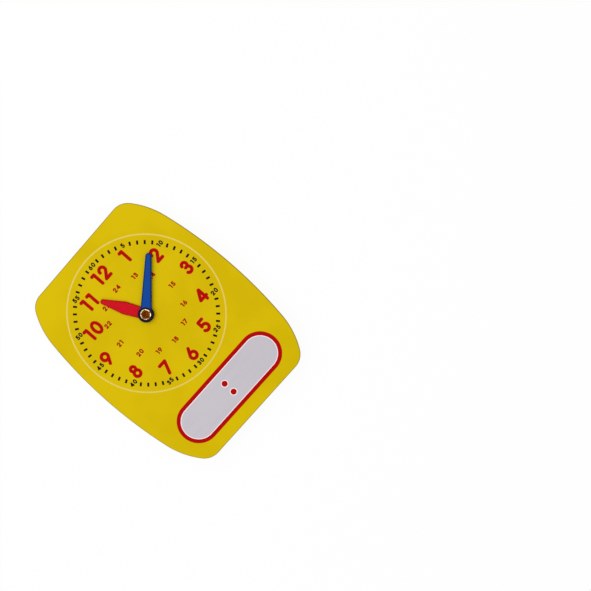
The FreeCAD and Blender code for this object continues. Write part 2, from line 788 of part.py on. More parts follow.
def cover_screws():
    """Return the four self-tapping screws, with a cross slot in each head."""
    screws = []
    for x, y in column_places:
        head = cylinder(screw_head_radius, screw_seat_z - screw_head_height, screw_seat_z, (x, y))
        shank = cylinder(screw_shank_radius, screw_seat_z, column_pad_z + screw_bite, (x, y))
        slot_length = 2 * screw_head_radius * screw_slot_length_share
        slots = []
        for length, width in ((slot_length, screw_slot_width), (screw_slot_width, slot_length)):
            corner = vector(x - length / 2, y - width / 2, screw_seat_z - screw_head_height - overrun)
            slots.append(Part.makeBox(length, width, overrun + screw_slot_depth, corner))
        screws.append(head.fuse(shank).removeSplitter().cut(slots))
    return Part.makeCompound([solid for screw in screws for solid in screw.Solids])


def adhesive_pad():
    """Return the foam tape between the plate and the gearbox, open round the bearing collar."""
    pad = prism(box_outline(pad_inset), base_front_z, plate_back_z)
    return pad.cut(cylinder(collar_radius + pad_collar_gap, base_front_z - overrun, plate_back_z + overrun))


def friction_washer():
    """Return the washer that the minute pinion rubs on."""
    washer = ring(friction_washer_radius, eyelet_outer_radius + running_clearance)
    return prism(washer, dish_inner_z, friction_front_z)


def rear_washer():
    """Return the washer under the eyelet's rear roll."""
    washer = ring(rear_washer_radius, eyelet_outer_radius + seat_clearance)
    return prism(washer, rear_washer_back_z, rear_washer_front_z)


pieces = (
    dial_plate, dial_ring, minute_ticks, minute_numerals, hour_numerals, day_hour_numerals,
    writing_panel, panel_border, panel_colon, minute_hand, hour_hand, hub_eyelet, minute_arbor,
    hour_wheel, transfer_gear, transfer_pin, gearbox_base, gearbox_cover, cover_screws,
    adhesive_pad, friction_washer, rear_washer,
)

for piece in pieces:
    shape = piece()
    shape.exportStep("parts/" + piece.__name__ + ".step")
    solids = shape.Solids
    print(piece.__name__, len(solids), "solids", round(sum(solid.Volume for solid in solids), 3), "mm3",
          "valid" if shape.isValid() else "NOT VALID")
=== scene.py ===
"""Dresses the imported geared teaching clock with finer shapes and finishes, and sets up its studio.

Lengths are written in millimetres, and become metres where Blender takes them.
"""

import json
import logging
import math
from dataclasses import dataclass, field
from enum import Enum
from functools import partialmethod

import bmesh
import bpy
from bpy.types import Material, NodeSocket
from mathutils import Matrix, Quaternion, Vector

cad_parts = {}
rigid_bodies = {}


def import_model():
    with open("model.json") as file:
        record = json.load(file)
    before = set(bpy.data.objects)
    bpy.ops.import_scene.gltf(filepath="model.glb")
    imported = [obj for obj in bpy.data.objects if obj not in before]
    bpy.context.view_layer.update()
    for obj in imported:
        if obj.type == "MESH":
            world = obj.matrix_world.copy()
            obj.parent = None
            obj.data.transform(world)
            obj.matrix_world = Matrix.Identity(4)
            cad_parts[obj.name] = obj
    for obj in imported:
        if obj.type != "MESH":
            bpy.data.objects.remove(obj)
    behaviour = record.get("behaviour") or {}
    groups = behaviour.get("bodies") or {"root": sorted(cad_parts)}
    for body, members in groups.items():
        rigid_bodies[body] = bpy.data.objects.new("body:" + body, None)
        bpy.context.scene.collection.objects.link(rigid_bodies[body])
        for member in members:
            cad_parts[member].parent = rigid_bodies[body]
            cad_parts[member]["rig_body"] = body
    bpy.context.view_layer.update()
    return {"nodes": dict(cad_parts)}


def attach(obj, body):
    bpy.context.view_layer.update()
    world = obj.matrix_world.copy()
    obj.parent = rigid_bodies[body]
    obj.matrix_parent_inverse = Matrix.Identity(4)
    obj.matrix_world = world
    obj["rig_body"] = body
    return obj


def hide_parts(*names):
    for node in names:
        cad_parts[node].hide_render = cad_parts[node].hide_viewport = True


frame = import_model()

logger = logging.getLogger("teaching_clock")

Point = tuple[float, float]
MILLIMETRE = 0.001
MERGE_REACH = 0.002
REST_Z = -9.025
PLATE_THICKNESS = 1.5
RIM = "rim"


# Colours and node trees

@dataclass(frozen=True)
class Tint:
    """A colour as a screen shows it, with channels from 0 to 255."""

    red: float
    green: float
    blue: float

    def linear(self) -> tuple[float, float, float, float]:
        """Return the colour as the shaders take it, by the formula of the sRGB standard."""
        shares = [channel / 255 for channel in (self.red, self.green, self.blue)]
        return (*[s / 12.92 if s <= 0.04045 else ((s + 0.055) / 1.055) ** 2.4 for s in shares], 1.0)

    def scaled(self, share: float) -> "Tint":
        """Return the colour with every channel multiplied by a share."""
        return Tint(self.red * share, self.green * share, self.blue * share)


@dataclass(frozen=True)
class Number:
    """A number socket that adds Math nodes when it is used in arithmetic."""

    graph: "Graph"
    socket: NodeSocket

    def calculated(self, operation: str, *others: "Number | float") -> "Number":
        """Add a Math node.

        Args:
            operation: Name of the node's operation.
            others: The node's inputs after this number.

        Returns:
            The node's result.
        """
        sockets = dict(enumerate((self, *others)))
        return self.graph.number("ShaderNodeMath", sockets, {"operation": operation})

    __add__ = __radd__ = partialmethod(calculated, "ADD")
    __sub__ = partialmethod(calculated, "SUBTRACT")
    __mul__ = __rmul__ = partialmethod(calculated, "MULTIPLY")
    __abs__ = partialmethod(calculated, "ABSOLUTE")
    at_least = partialmethod(calculated, "MAXIMUM")
    at_most = partialmethod(calculated, "MINIMUM")
    root = partialmethod(calculated, "SQRT")
    wave = partialmethod(calculated, "SINE")
    # Angle in radians of the point whose height is this number and whose distance across is another
    bearing = partialmethod(calculated, "ARCTAN2")

    def __neg__(self) -> "Number":
        """Return the number with its sign changed."""
        return self * -1.0

    def __rsub__(self, other: float) -> "Number":
        """Return another number less this one."""
        return -self + other


def socket_of(sockets: bpy.types.bpy_prop_collection, key: str | int) -> NodeSocket:
    """Find a socket.

    Args:
        sockets: A node's inputs or outputs.
        key: The socket's identifier, name or place.

    Returns:
        The socket whose identifier fits, or else the one whose name or place does.
    """
    for socket in sockets:
        if socket.identifier == key:
            return socket
    return sockets[key]


class Graph:
    """A node tree whose nodes are added with their inputs and settings."""

    def __init__(self, tree: bpy.types.NodeTree) -> None:
        """Keep the tree that the nodes go into."""
        self.tree = tree

    def node(self, kind: str, sockets: dict | None = None, settings: dict | None = None) -> bpy.types.Node:
        """Add a node.

        Args:
            kind: The node's type.
            sockets: Values, colours or links for its inputs, by identifier, name or place.
            settings: Its properties, which are set first.

        Returns:
            The new node.
        """
        made = self.tree.nodes.new(kind)
        for name, value in (settings or {}).items():
            setattr(made, name, value)
        for key, value in (sockets or {}).items():
            source = value.socket if isinstance(value, Number) else value
            target = socket_of(made.inputs, key)
            if isinstance(source, NodeSocket):
                self.tree.links.new(source, target)
            else:
                target.default_value = source.linear() if isinstance(source, Tint) else source
        return made

    def out(self, kind: str, sockets: dict | None = None, settings: dict | None = None,
            output: str | int = 0) -> NodeSocket:
        """Add a node and return one of its outputs."""
        return socket_of(self.node(kind, sockets, settings).outputs, output)

    def number(self, kind: str, sockets: dict | None = None, settings: dict | None = None,
               output: str | int = 0) -> Number:
        """Add a node and return one of its outputs as a number."""
        return Number(self, self.out(kind, sockets, settings, output))

    def parts(self, vector: NodeSocket) -> tuple[Number, Number, Number]:
        """Return a vector's three components."""
        split = self.node("ShaderNodeSeparateXYZ", {0: vector})
        return tuple(Number(self, output) for output in split.outputs)

    def vector(self, x: Number | float, y: Number | float, z: Number | float) -> NodeSocket:
        """Return the vector with three given components."""
        return self.out("ShaderNodeCombineXYZ", {0: x, 1: y, 2: z})

    def scaled(self, vector: NodeSocket, scale: Number | float) -> NodeSocket:
        """Return a vector multiplied by a number."""
        return self.out("ShaderNodeVectorMath", {"Vector": vector, "Scale": scale}, {"operation": "SCALE"})


# Finishes

class Surface(Graph):
    """A material's node tree, with the measures that the patterns use."""

    def __init__(self, name: str) -> None:
        """Start an empty material.

        Args:
            name: The material's name.
        """
        self.material = bpy.data.materials.new(name)
        self.material.use_nodes = True
        self.material.node_tree.nodes.clear()
        super().__init__(self.material.node_tree)
        metres = self.out("ShaderNodeTexCoord", output="Object")
        self.place = self.scaled(metres, 1 / MILLIMETRE)
        self.x, self.y, self.z = self.parts(self.place)

    def radius(self) -> Number:
        """Return the distance from the arbor's axis in millimetres."""
        return (self.x * self.x + self.y * self.y).root()

    def hand_place(self, clock_angle: float) -> tuple[Number, Number]:
        """Measure the place in a hand's own directions.

        Args:
            clock_angle: The hand's angle in degrees, clockwise from twelve.

        Returns:
            The distances along and across the hand from the arbor.
        """
        turn = math.radians(clock_angle)
        along = self.x * math.sin(turn) + self.y * math.cos(turn)
        return along, self.x * math.cos(turn) - self.y * math.sin(turn)

    def rise(self, value: Number, low: float, high: float) -> Number:
        """Add a smooth step.

        Args:
            value: The number that goes through the step.
            low: The value at which the step is 0.
            high: The value at which it is 1, which may be the smaller one.

        Returns:
            A number from 0 to 1.
        """
        sockets = {"Value": value, "From Min": low, "From Max": high}
        settings = {"interpolation_type": "SMOOTHSTEP"}
        return self.number("ShaderNodeMapRange", sockets, settings)

    def mixed(self, factor: Number, first: Tint | NodeSocket, second: Tint) -> NodeSocket:
        """Return a colour that goes from the first to the second as a factor goes from 0 to 1."""
        sockets = {"Factor_Float": factor, "A_Color": first, "B_Color": second}
        return self.out("ShaderNodeMix", sockets, {"data_type": "RGBA"}, "Result_Color")

    def relief(self, height: Number | float, depth: float) -> NodeSocket:
        """Return the normal of a surface with a height pattern of a given depth in millimetres."""
        sockets = {"Height": height, "Distance": depth * MILLIMETRE, "Strength": 1.0}
        return self.out("ShaderNodeBump", sockets, output="Normal")


class Pattern:
    """Something that is strong in some places of a surface and weak in others."""

    def on(self, surface: Surface) -> Number:
        """Add the pattern to a material.

        Args:
            surface: The material.

        Returns:
            How strong the pattern is at each place.
        """
        raise NotImplementedError


@dataclass(frozen=True)
class Grain(Pattern):
    """Noise around one half with patches of one size, which are longer along an axis with a small share."""

    size: float
    detail: float = 2.0
    axis_shares: tuple[float, float, float] = (1.0, 1.0, 1.0)

    def over(self, surface: Surface, place: NodeSocket) -> Number:
        """Add the noise.

        Args:
            surface: The material that it goes into.
            place: The place in millimetres that it is read at.

        Returns:
            A number around one half.
        """
        sockets = {0: place, 1: self.axis_shares}
        place = surface.out("ShaderNodeVectorMath", sockets, {"operation": "MULTIPLY"})
        sockets = {"Vector": place, "Scale": 1 / self.size, "Detail": self.detail}
        return surface.number("ShaderNodeTexNoise", sockets)

    def on(self, surface: Surface) -> Number:
        """Return the noise."""
        return self.over(surface, surface.place)


@dataclass(frozen=True)
class Patches(Grain):
    """Noise that goes from 0 to 1 between two of its levels."""

    low: float = 0.35
    high: float = 0.7

    def on(self, surface: Surface) -> Number:
        """Return 1 in the patches and 0 between them."""
        return surface.rise(super().on(surface), self.low, self.high)


@dataclass(frozen=True)
class Cells(Pattern):
    """Strength that goes from 0 to 1 between two distances from scattered points, in shares of a size."""

    size: float
    low: float
    high: float

    def on(self, surface: Surface) -> Number:
        """Return the strength of the cells."""
        sockets = {"Vector": surface.place, "Scale": 1 / self.size}
        distance = surface.number("ShaderNodeTexVoronoi", sockets, output="Distance")
        return surface.rise(distance, self.low, self.high)


@dataclass(frozen=True)
class Both(Pattern):
    """One pattern where another one is."""

    first: Pattern
    second: Pattern

    def on(self, surface: Surface) -> Number:
        """Return the product of the two patterns."""
        return self.first.on(surface) * self.second.on(surface)


@dataclass(frozen=True)
class Heights(Pattern):
    """Strength that goes from its least to 1 between two heights."""

    low: float
    high: float
    least: float = 0.0

    def on(self, surface: Surface) -> Number:
        """Return the strength at each height."""
        return self.least + (1 - self.least) * surface.rise(surface.z, self.low, self.high)


@dataclass(frozen=True)
class Radii(Pattern):
    """Strength that goes from 0 to 1 between two distances from the arbor's axis."""

    low: float
    high: float

    def on(self, surface: Surface) -> Number:
        """Return the strength at each radius."""
        return surface.rise(surface.radius(), self.low, self.high)


@dataclass(frozen=True)
class Rim(Pattern):
    """Rounded rim of a sheet, which its mesh marks at its points."""

    low: float
    high: float
    share: float = 1.0

    def on(self, surface: Surface) -> Number:
        """Return the strength of the rim."""
        mark = surface.number("ShaderNodeAttribute", settings={"attribute_name": RIM}, output="Fac")
        return surface.rise(mark, self.low, self.high) * self.share


@dataclass(frozen=True)
class PaintedEdgeShade(Pattern):
    """Painted shade on the plate's side wall, broken by upright die-cut marks, and painted shade on its
    rounded rim.
    """

    thickness: float = PLATE_THICKNESS
    fade_start: float = 0.02
    fade_end: float = 0.2
    mark_share: float = 0.3
    marks: Grain = Grain(0.35, axis_shares=(1.0, 1.0, 0.1))
    rim: Rim = Rim(low=0.1, high=1.0, share=0.75)

    def on(self, surface: Surface) -> Number:
        """Return the strength of the painted edge shade."""
        below_face = surface.rise(surface.z, -self.fade_start, -self.fade_end)
        above_back = surface.rise(surface.z, -self.thickness, self.fade_end - self.thickness)
        marks = self.marks.on(surface) * self.mark_share + (1 - self.mark_share)
        return (below_face * above_back * marks).at_least(self.rim.on(surface))


@dataclass(frozen=True)
class PanelLine(Pattern):
    """White line inside the writing panel's border, and the white rings round its dots."""

    centre_x: float = -0.8
    centre_y: float = -65.3
    reach: float = 27.8
    end_radius: float = 10.6
    dot_radius: float = 1.87
    dot_spacing: float = 7.1
    width: float = 0.4
    fade_share: float = 0.3

    def on(self, surface: Surface) -> Number:
        """Return 1 on the line and the rings."""
        across, up = surface.x - self.centre_x, surface.y - self.centre_y
        out = (abs(across) - self.reach).at_least(0.0)
        to_border = self.end_radius - (out * out + up * up).root()
        from_dot = abs(up) - self.dot_spacing / 2
        to_dot = (across * across + from_dot * from_dot).root() - self.dot_radius
        fade = self.width * self.fade_share
        return surface.rise(to_border.at_most(to_dot), self.width + fade, self.width - fade)


@dataclass(frozen=True)
class FlowMarks(Pattern):
    """Streaks that the flow of the plastic leaves along a hand."""

    clock_angle: float
    grain: Grain = Grain(5 / 6, detail=3.0, axis_shares=(0.08, 1.0, 1.0))
    low: float = 0.4
    high: float = 0.65

    def on(self, surface: Surface) -> Number:
        """Return the strength of the streaks."""
        place = surface.vector(*surface.hand_place(self.clock_angle), surface.z)
        return surface.rise(self.grain.over(surface, place), self.low, self.high)


@dataclass(frozen=True)
class HubShade(Pattern):
    """Painted shade on the hub of a hand, which ends at one radius on the arm's side and at another
    elsewhere.
    """

    clock_angle: float
    hub_edge: float
    root_edge: float
    root_low: float = 1.5
    root_high: float = 3.4
    fade_in: float = 0.3
    fade_out: float = 0.15

    def on(self, surface: Surface) -> Number:
        """Return 1 inside the painted hub shade."""
        along, _ = surface.hand_place(self.clock_angle)
        near_arm = surface.rise(along, self.root_low, self.root_high)
        edge = self.hub_edge + (self.root_edge - self.hub_edge) * near_arm
        return surface.rise(surface.radius() - edge, self.fade_out, -self.fade_in)


@dataclass(frozen=True)
class RollFlanks(Pattern):
    """Both flanks of the eyelet's roll, outside its bright crown, which carry tarnish and painted shade."""

    crown_radius: float = 2.85
    crown_width: float = 0.36
    fade_share: float = 0.45
    roll_radius: float = 3.35
    roll_fade: float = 0.1

    def on(self, surface: Surface) -> Number:
        """Return 1 on the flanks."""
        radius = surface.radius()
        from_crown = abs(radius - self.crown_radius)
        off_crown = surface.rise(from_crown, self.crown_width * self.fade_share, self.crown_width)
        return off_crown * surface.rise(radius, self.roll_radius + self.roll_fade, self.roll_radius)


@dataclass(frozen=True)
class RollCreases(Pattern):
    """Creases that run outwards over the eyelet's roll, with finer and uneven ones on them."""

    count: int = 11
    finer: int = 3
    fine_share: float = 0.5
    unevenness: Grain = Grain(0.6)

    def on(self, surface: Surface) -> Number:
        """Return the height of the creases."""
        turn = surface.y.bearing(surface.x)
        fine = (turn * self.finer * self.count).wave() * self.unevenness.on(surface)
        return (turn * self.count).wave() + self.fine_share * fine


@dataclass(frozen=True)
class EjectorMarks(Pattern):
    """Thin circles that the mould's ejector pins leave on the rear shell."""

    x: float = 9.5
    y: float = -23.5
    radius: float = 1.6
    width: float = 0.12

    def on(self, surface: Surface) -> Number:
        """Return 1 on the circles."""
        out = abs(surface.x) - self.x
        up = surface.y - self.y
        off_circle = abs((out * out + up * up).root() - self.radius)
        return surface.rise(off_circle, self.width, self.width / 2)


@dataclass(frozen=True)
class Layer:
    """A pattern with its colour, and with what it adds to the roughness and the relief."""

    pattern: Pattern
    tint: Tint | None = None
    tint_share: float = 1.0
    roughness: float = 0.0
    relief: float = 0.0


@dataclass(frozen=True, kw_only=True)
class Finish:
    """A material: its colour and roughness, the layers over them and the depth of their relief."""

    name: str
    tint: Tint
    roughness: float
    depth: float
    metallic: float = 0.0
    specular: float = 0.5
    coat: float = 0.0
    coat_roughness: float = 0.0
    subsurface: float = 0.0
    subsurface_scale: float = 1.0

    def layers(self) -> tuple[Layer, ...]:
        """Return the layers, the lowest first."""
        raise NotImplementedError

    def material(self) -> Material:
        """Make the material.

        Returns:
            The material, with the layers over its own colour.
        """
        surface = Surface(self.name)
        colour, roughness, height = self.tint, self.roughness, 0.0
        for layer in self.layers():
            strength = layer.pattern.on(surface)
            if layer.tint is not None:
                colour = surface.mixed(strength * layer.tint_share, colour, layer.tint)
            if layer.roughness:
                roughness = roughness + strength * layer.roughness
            if layer.relief:
                height = height + strength * layer.relief
        sockets = {
            "Base Color": colour,
            "Roughness": roughness,
            "Normal": surface.relief(height, self.depth),
            "Metallic": self.metallic,
            "Specular IOR Level": self.specular,
            "Coat Weight": self.coat,
            "Coat Roughness": self.coat_roughness,
            "Subsurface Weight": self.subsurface,
            "Subsurface Scale": self.subsurface_scale * MILLIMETRE,
        }
        shader = surface.out("ShaderNodeBsdfPrincipled", sockets)
        surface.node("ShaderNodeOutputMaterial", {"Surface": shader})
        return surface.material


@dataclass(frozen=True, kw_only=True)
class SheetPlastic(Finish):
    """Yellow sheet with faint clouds, rub marks and painted shade on its side wall and rounded rim."""

    name: str = "yellow_sheet_plastic"
    tint: Tint = Tint(217, 188, 0)
    cloud_tint: Tint = Tint(211, 181, 0)
    # Colour of the painted shade on the plate's side wall and rounded rim
    edge_shade_tint: Tint = Tint(128, 104, 8)
    roughness: float = 0.42
    depth: float = 0.004
    specular: float = 0.035

    def layers(self) -> tuple[Layer, ...]:
        """Return the clouds, the painted edge shade, the rub marks and the grain."""
        rub_marks = Patches(1.1, detail=4.0, axis_shares=(0.06, 1.0, 1.0), low=0.62, high=0.8)
        return (
            Layer(Patches(34.0, detail=3.0, low=0.35, high=0.65), self.cloud_tint, roughness=0.1),
            Layer(PaintedEdgeShade(), self.edge_shade_tint),
            Layer(rub_marks, roughness=0.12, relief=0.4),
            Layer(Grain(0.45), relief=1.0),
        )


@dataclass(frozen=True, kw_only=True)
class ScreenInk(Finish):
    """Screen-printed ink, which shows shares of its colour where it is thin and in its few pinholes."""

    roughness: float = 0.4
    depth: float = 0.004
    specular: float = 0.05
    thin_share: float = 0.9
    pinhole_share: float = 0.6

    def layers(self) -> tuple[Layer, ...]:
        """Return the thin places, the pinholes and the marks of the printer's mesh."""
        thin_tint, pinhole_tint = self.tint.scaled(self.thin_share), self.tint.scaled(self.pinhole_share)
        return (
            Layer(Patches(0.9, detail=3.0, low=0.7, high=0.3), thin_tint, roughness=0.1),
            Layer(Cells(0.55, low=0.1, high=0.05), pinhole_tint, relief=-1.0),
            Layer(Grain(0.16, detail=1.0), relief=1.0),
        )


@dataclass(frozen=True, kw_only=True)
class WipeCleanFilm(Finish):
    """Glossy writing panel with faint wipes, and white lines inside its border and round its dots."""

    name: str = "wipe_clean_panel"
    tint: Tint = Tint(196, 191, 198)
    wipe_tint: Tint = Tint(192, 187, 195)
    line_tint: Tint = Tint(255, 246, 248)
    roughness: float = 0.2
    depth: float = 0.006
    specular: float = 0.3
    coat: float = 0.25
    coat_roughness: float = 0.12

    def layers(self) -> tuple[Layer, ...]:
        """Return the wipes, the white line and the film's slight waves."""
        wipes = Patches(3.0, detail=4.0, axis_shares=(0.12, 1.0, 1.0), low=0.45, high=0.75)
        return (
            Layer(wipes, self.wipe_tint, roughness=0.12),
            Layer(PanelLine(), self.line_tint),
            Layer(Grain(2.4), relief=1.0),
        )


@dataclass(frozen=True, kw_only=True)
class HandPlastic(Finish):
    """Moulded plastic of a hand, with flow marks along the arm, painted shade on its rounded edges and
    painted shade on its hub.
    """

    flow_tint: Tint
    # Colour of the painted shade on the hand's rounded edges
    edge_shade_tint: Tint
    # Colour of the painted shade on the hub round the eyelet
    hub_shade_tint: Tint
    hub: HubShade
    roughness: float = 0.34
    depth: float = 0.006
    specular: float = 0.07

    def layers(self) -> tuple[Layer, ...]:
        """Return the flow marks, the painted edge shade, the painted hub shade and the pores."""
        return (
            Layer(FlowMarks(self.hub.clock_angle), self.flow_tint, roughness=0.14, relief=0.6),
            Layer(Rim(low=0.15, high=0.95), self.edge_shade_tint, roughness=0.1),
            Layer(self.hub, self.hub_shade_tint),
            Layer(Grain(0.3), relief=1.0),
        )


@dataclass(frozen=True, kw_only=True)
class RolledBrass(Finish):
    """Creased brass of the eyelet with tarnish and painted shade on the flanks of its rolls, a brown bore,
    and wear in patches on its front.
    """

    name: str = "rolled_brass"
    tint: Tint = Tint(252, 232, 186)
    worn_tint: Tint = Tint(108, 72, 42)
    # Colour of the tarnish and painted shade on the roll's flanks
    flank_tarnish_and_shade_tint: Tint = Tint(92, 58, 26)
    bore_tint: Tint = Tint(236, 182, 92)
    roughness: float = 0.16
    depth: float = 0.02
    metallic: float = 1.0

    def layers(self) -> tuple[Layer, ...]:
        """Return the wear, the tarnish and painted shade on the flanks, the bore and the creases."""
        handled = Heights(low=0.0, high=1.0, least=0.3)
        return (
            Layer(Both(Patches(1.6, low=0.4, high=0.56), handled), self.worn_tint, roughness=0.12),
            Layer(Both(RollFlanks(), handled), self.flank_tarnish_and_shade_tint),
            Layer(Radii(low=2.42, high=2.32), self.bore_tint, roughness=0.24),
            Layer(RollCreases(), relief=1.0),
        )


@dataclass(frozen=True, kw_only=True)
class ZincSteel(Finish):
    """Zinc-plated steel with fine turning marks and a faint yellow cast."""

    name: str = "zinc_steel"
    tint: Tint = Tint(196, 197, 196)
    cast_tint: Tint = Tint(204, 196, 172)
    roughness: float = 0.26
    depth: float = 0.005
    metallic: float = 1.0

    def layers(self) -> tuple[Layer, ...]:
        """Return the cast and the turning marks."""
        turning_marks = Grain(0.12, detail=3.0, axis_shares=(1.0, 0.08, 1.0))
        return (Layer(Patches(1.4), self.cast_tint), Layer(turning_marks, roughness=0.22, relief=1.0))


@dataclass(frozen=True, kw_only=True)
class GearPlastic(Finish):
    """Natural slippery plastic of the gears, waxy and faintly mottled."""

    name: str = "gear_plastic"
    tint: Tint = Tint(232, 229, 216)
    mottle_tint: Tint = Tint(222, 217, 200)
    roughness: float = 0.38
    depth: float = 0.006
    subsurface: float = 0.15

    def layers(self) -> tuple[Layer, ...]:
        """Return the mottling and the grain."""
        mottling = Patches(3.5, detail=3.0)
        return (Layer(mottling, self.mottle_tint, roughness=0.12), Layer(Grain(0.4), relief=1.0))


@dataclass(frozen=True, kw_only=True)
class BoxPlastic(Finish):
    """Off-white, spark-eroded plastic of the gearbox, with scuffs and ejector marks on its rear face."""

    name: str = "box_plastic"
    tint: Tint = Tint(228, 225, 216)
    scuff_tint: Tint = Tint(208, 204, 194)
    roughness: float = 0.6
    depth: float = 0.02
    specular: float = 0.35

    def layers(self) -> tuple[Layer, ...]:
        """Return the scuffs, the ejector marks and the grain."""
        rear_face = Heights(low=REST_Z + 0.3, high=REST_Z + 0.02)
        scuffs = Patches(5.0, detail=5.0, axis_shares=(1.0, 0.3, 1.0), low=0.55, high=0.8)
        return (
            Layer(Both(scuffs, rear_face), self.scuff_tint, roughness=-0.15),
            Layer(Both(EjectorMarks(), rear_face), self.scuff_tint, tint_share=0.5, relief=-1.5),
            Layer(Grain(0.22, detail=3.0), relief=1.0),
        )


@dataclass(frozen=True, kw_only=True)
class FoamTape(Finish):
    """White closed-cell foam of the double-sided tape."""

    name: str = "foam_tape"
    tint: Tint = Tint(226, 226, 222)
    cell_tint: Tint = Tint(196, 196, 190)
    roughness: float = 0.75
    depth: float = 0.05
    specular: float = 0.2

    def layers(self) -> tuple[Layer, ...]:
        """Return the foam's cells."""
        return (Layer(Cells(0.28, low=0.1, high=0.5), self.cell_tint, roughness=0.15, relief=-1.0),)


# Shapes

def polar(centre: Point, radius: float, angle: float) -> Point:
    """Return the point at a radius and an angle in degrees, counter-clockwise from +X, about a centre."""
    turn = math.radians(angle)
    return (centre[0] + radius * math.cos(turn), centre[1] + radius * math.sin(turn))


def arc_points(centre: Point, radius: float, start: float, end: float, step: float) -> list[Point]:
    """Divide an arc.

    Args:
        centre: The arc's centre.
        radius: The arc's radius.
        start: Angle of its first point in degrees.
        end: Angle of its last point, either way round.
        step: Longest distance between two points.

    Returns:
        The points, both ends included.
    """
    length = abs(math.radians(end - start)) * radius
    count = max(2, math.ceil(length / step))
    return [polar(centre, radius, start + (end - start) * index / count) for index in range(count + 1)]


def mirrored(points: list[Point]) -> list[Point]:
    """Return points mirrored left to right, in the reverse order."""
    return [(-x, y) for x, y in reversed(points)]


def without_repeats(points: list[Point]) -> list[Point]:
    """Return a closed run of points with no two neighbours in one place."""
    return [point for index, point in enumerate(points) if math.dist(point, points[index - 1]) > MERGE_REACH]


def linked(name: str, data: bpy.types.ID) -> bpy.types.Object:
    """Put a new object into the scene.

    Args:
        name: The object's name.
        data: Its mesh, curve, lamp or camera.

    Returns:
        The object.
    """
    made = bpy.data.objects.new(name, data)
    bpy.context.scene.collection.objects.link(made)
    return made


def loop_of(work: bmesh.types.BMesh, points: list[Point], z: float) -> list[bmesh.types.BMVert]:
    """Add points at one height in millimetres to a mesh in the making, and return its new corners."""
    return [work.verts.new(Vector((x, y, z)) * MILLIMETRE) for x, y in points]


def skin(work: bmesh.types.BMesh, loops: list[list[bmesh.types.BMVert]]) -> None:
    """Join closed runs of corners with bands of faces.

    Args:
        work: The mesh in the making.
        loops: The runs in order, all with the same number of corners.
    """
    for lower, upper in zip(loops, loops[1:]):
        for index in range(len(lower)):
            work.faces.new((lower[index - 1], lower[index], upper[index], upper[index - 1]))


def mesh_pattern(name: str, work: bmesh.types.BMesh) -> bpy.types.Object:
    """Finish a mesh for a node tree to copy.

    Args:
        name: The object's name.
        work: The mesh in the making, which is freed.

    Returns:
        The mesh's object, to be removed once it has been used.
    """
    mesh = bpy.data.meshes.new(name)
    work.to_mesh(mesh)
    work.free()
    return linked(name, mesh)


def path_object(name: str, points: list[Point]) -> bpy.types.Object:
    """Make a closed curve for a node tree to follow.

    Args:
        name: The object's name.
        points: Its points in the XY plane, in millimetres.

    Returns:
        The curve's object, to be removed once it has been used.
    """
    curve = bpy.data.curves.new(name, "CURVE")
    curve.dimensions = "3D"
    spline = curve.splines.new("POLY")
    spline.points.add(len(points) - 1)
    for point, (x, y) in zip(spline.points, points):
        point.co = (x * MILLIMETRE, y * MILLIMETRE, 0.0, 1.0)
    spline.use_cyclic_u = True
    return linked(name, curve)


def applied(piece: bpy.types.Object) -> None:
    """Turn a piece with modifiers into a plain mesh.

    Args:
        piece: The piece, which is changed.
    """
    graph = bpy.context.evaluated_depsgraph_get()
    graph.update()
    mesh = bpy.data.meshes.new_from_object(piece.evaluated_get(graph))
    piece.modifiers.clear()
    old = piece.data
    piece.data = mesh
    mesh.name = piece.name
    bpy.data.meshes.remove(old)


def smoothed(piece: bpy.types.Object, sharp_angle: float = 35.0) -> bpy.types.Object:
    """Close a piece's seams, turn its faces outwards and shade it smooth up to a sharp angle.

    Args:
        piece: The mesh object, which is changed.
        sharp_angle: Edges with a larger angle in degrees stay sharp.

    Returns:
        The same object.
    """
    work = bmesh.new()
    work.from_mesh(piece.data)
    bmesh.ops.remove_doubles(work, verts=work.verts, dist=MERGE_REACH * MILLIMETRE)
    bmesh.ops.dissolve_degenerate(work, edges=work.edges, dist=MERGE_REACH * MILLIMETRE / 2)
    bmesh.ops.recalc_face_normals(work, faces=work.faces)
    work.to_mesh(piece.data)
    work.free()
    piece.data.shade_smooth()
    piece.data.set_sharp_from_angle(angle=math.radians(sharp_angle))
    weighted = piece.modifiers.new("flat_faces_first", "WEIGHTED_NORMAL")
    weighted.keep_sharp = True
    weighted.weight = 100
    applied(piece)
    return piece


def placed(piece: bpy.types.Object, slot: str, *nodes: str) -> bpy.types.Object:
    """Let a piece stand for CAD nodes and ride on their body.

    Args:
        piece: The finished piece.
        slot: The record's material slot; not used.
        nodes: The CAD nodes that it stands for, all of one body.

    Returns:
        The same piece.
    """
    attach(piece, frame["nodes"][nodes[0]]["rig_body"])
    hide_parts(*nodes)
    logger.info("made %s, %d faces, for %s", piece.name, len(piece.data.polygons), ", ".join(nodes))
    return piece


def dressed(node: str, material: Material) -> None:
    """Give a CAD node a finish.

    Args:
        node: The CAD node.
        material: Its finish.
    """
    mesh = frame["nodes"][node].data
    mesh.materials.clear()
    mesh.materials.append(material)
    logger.info("dressed %s in %s", node, material.name)


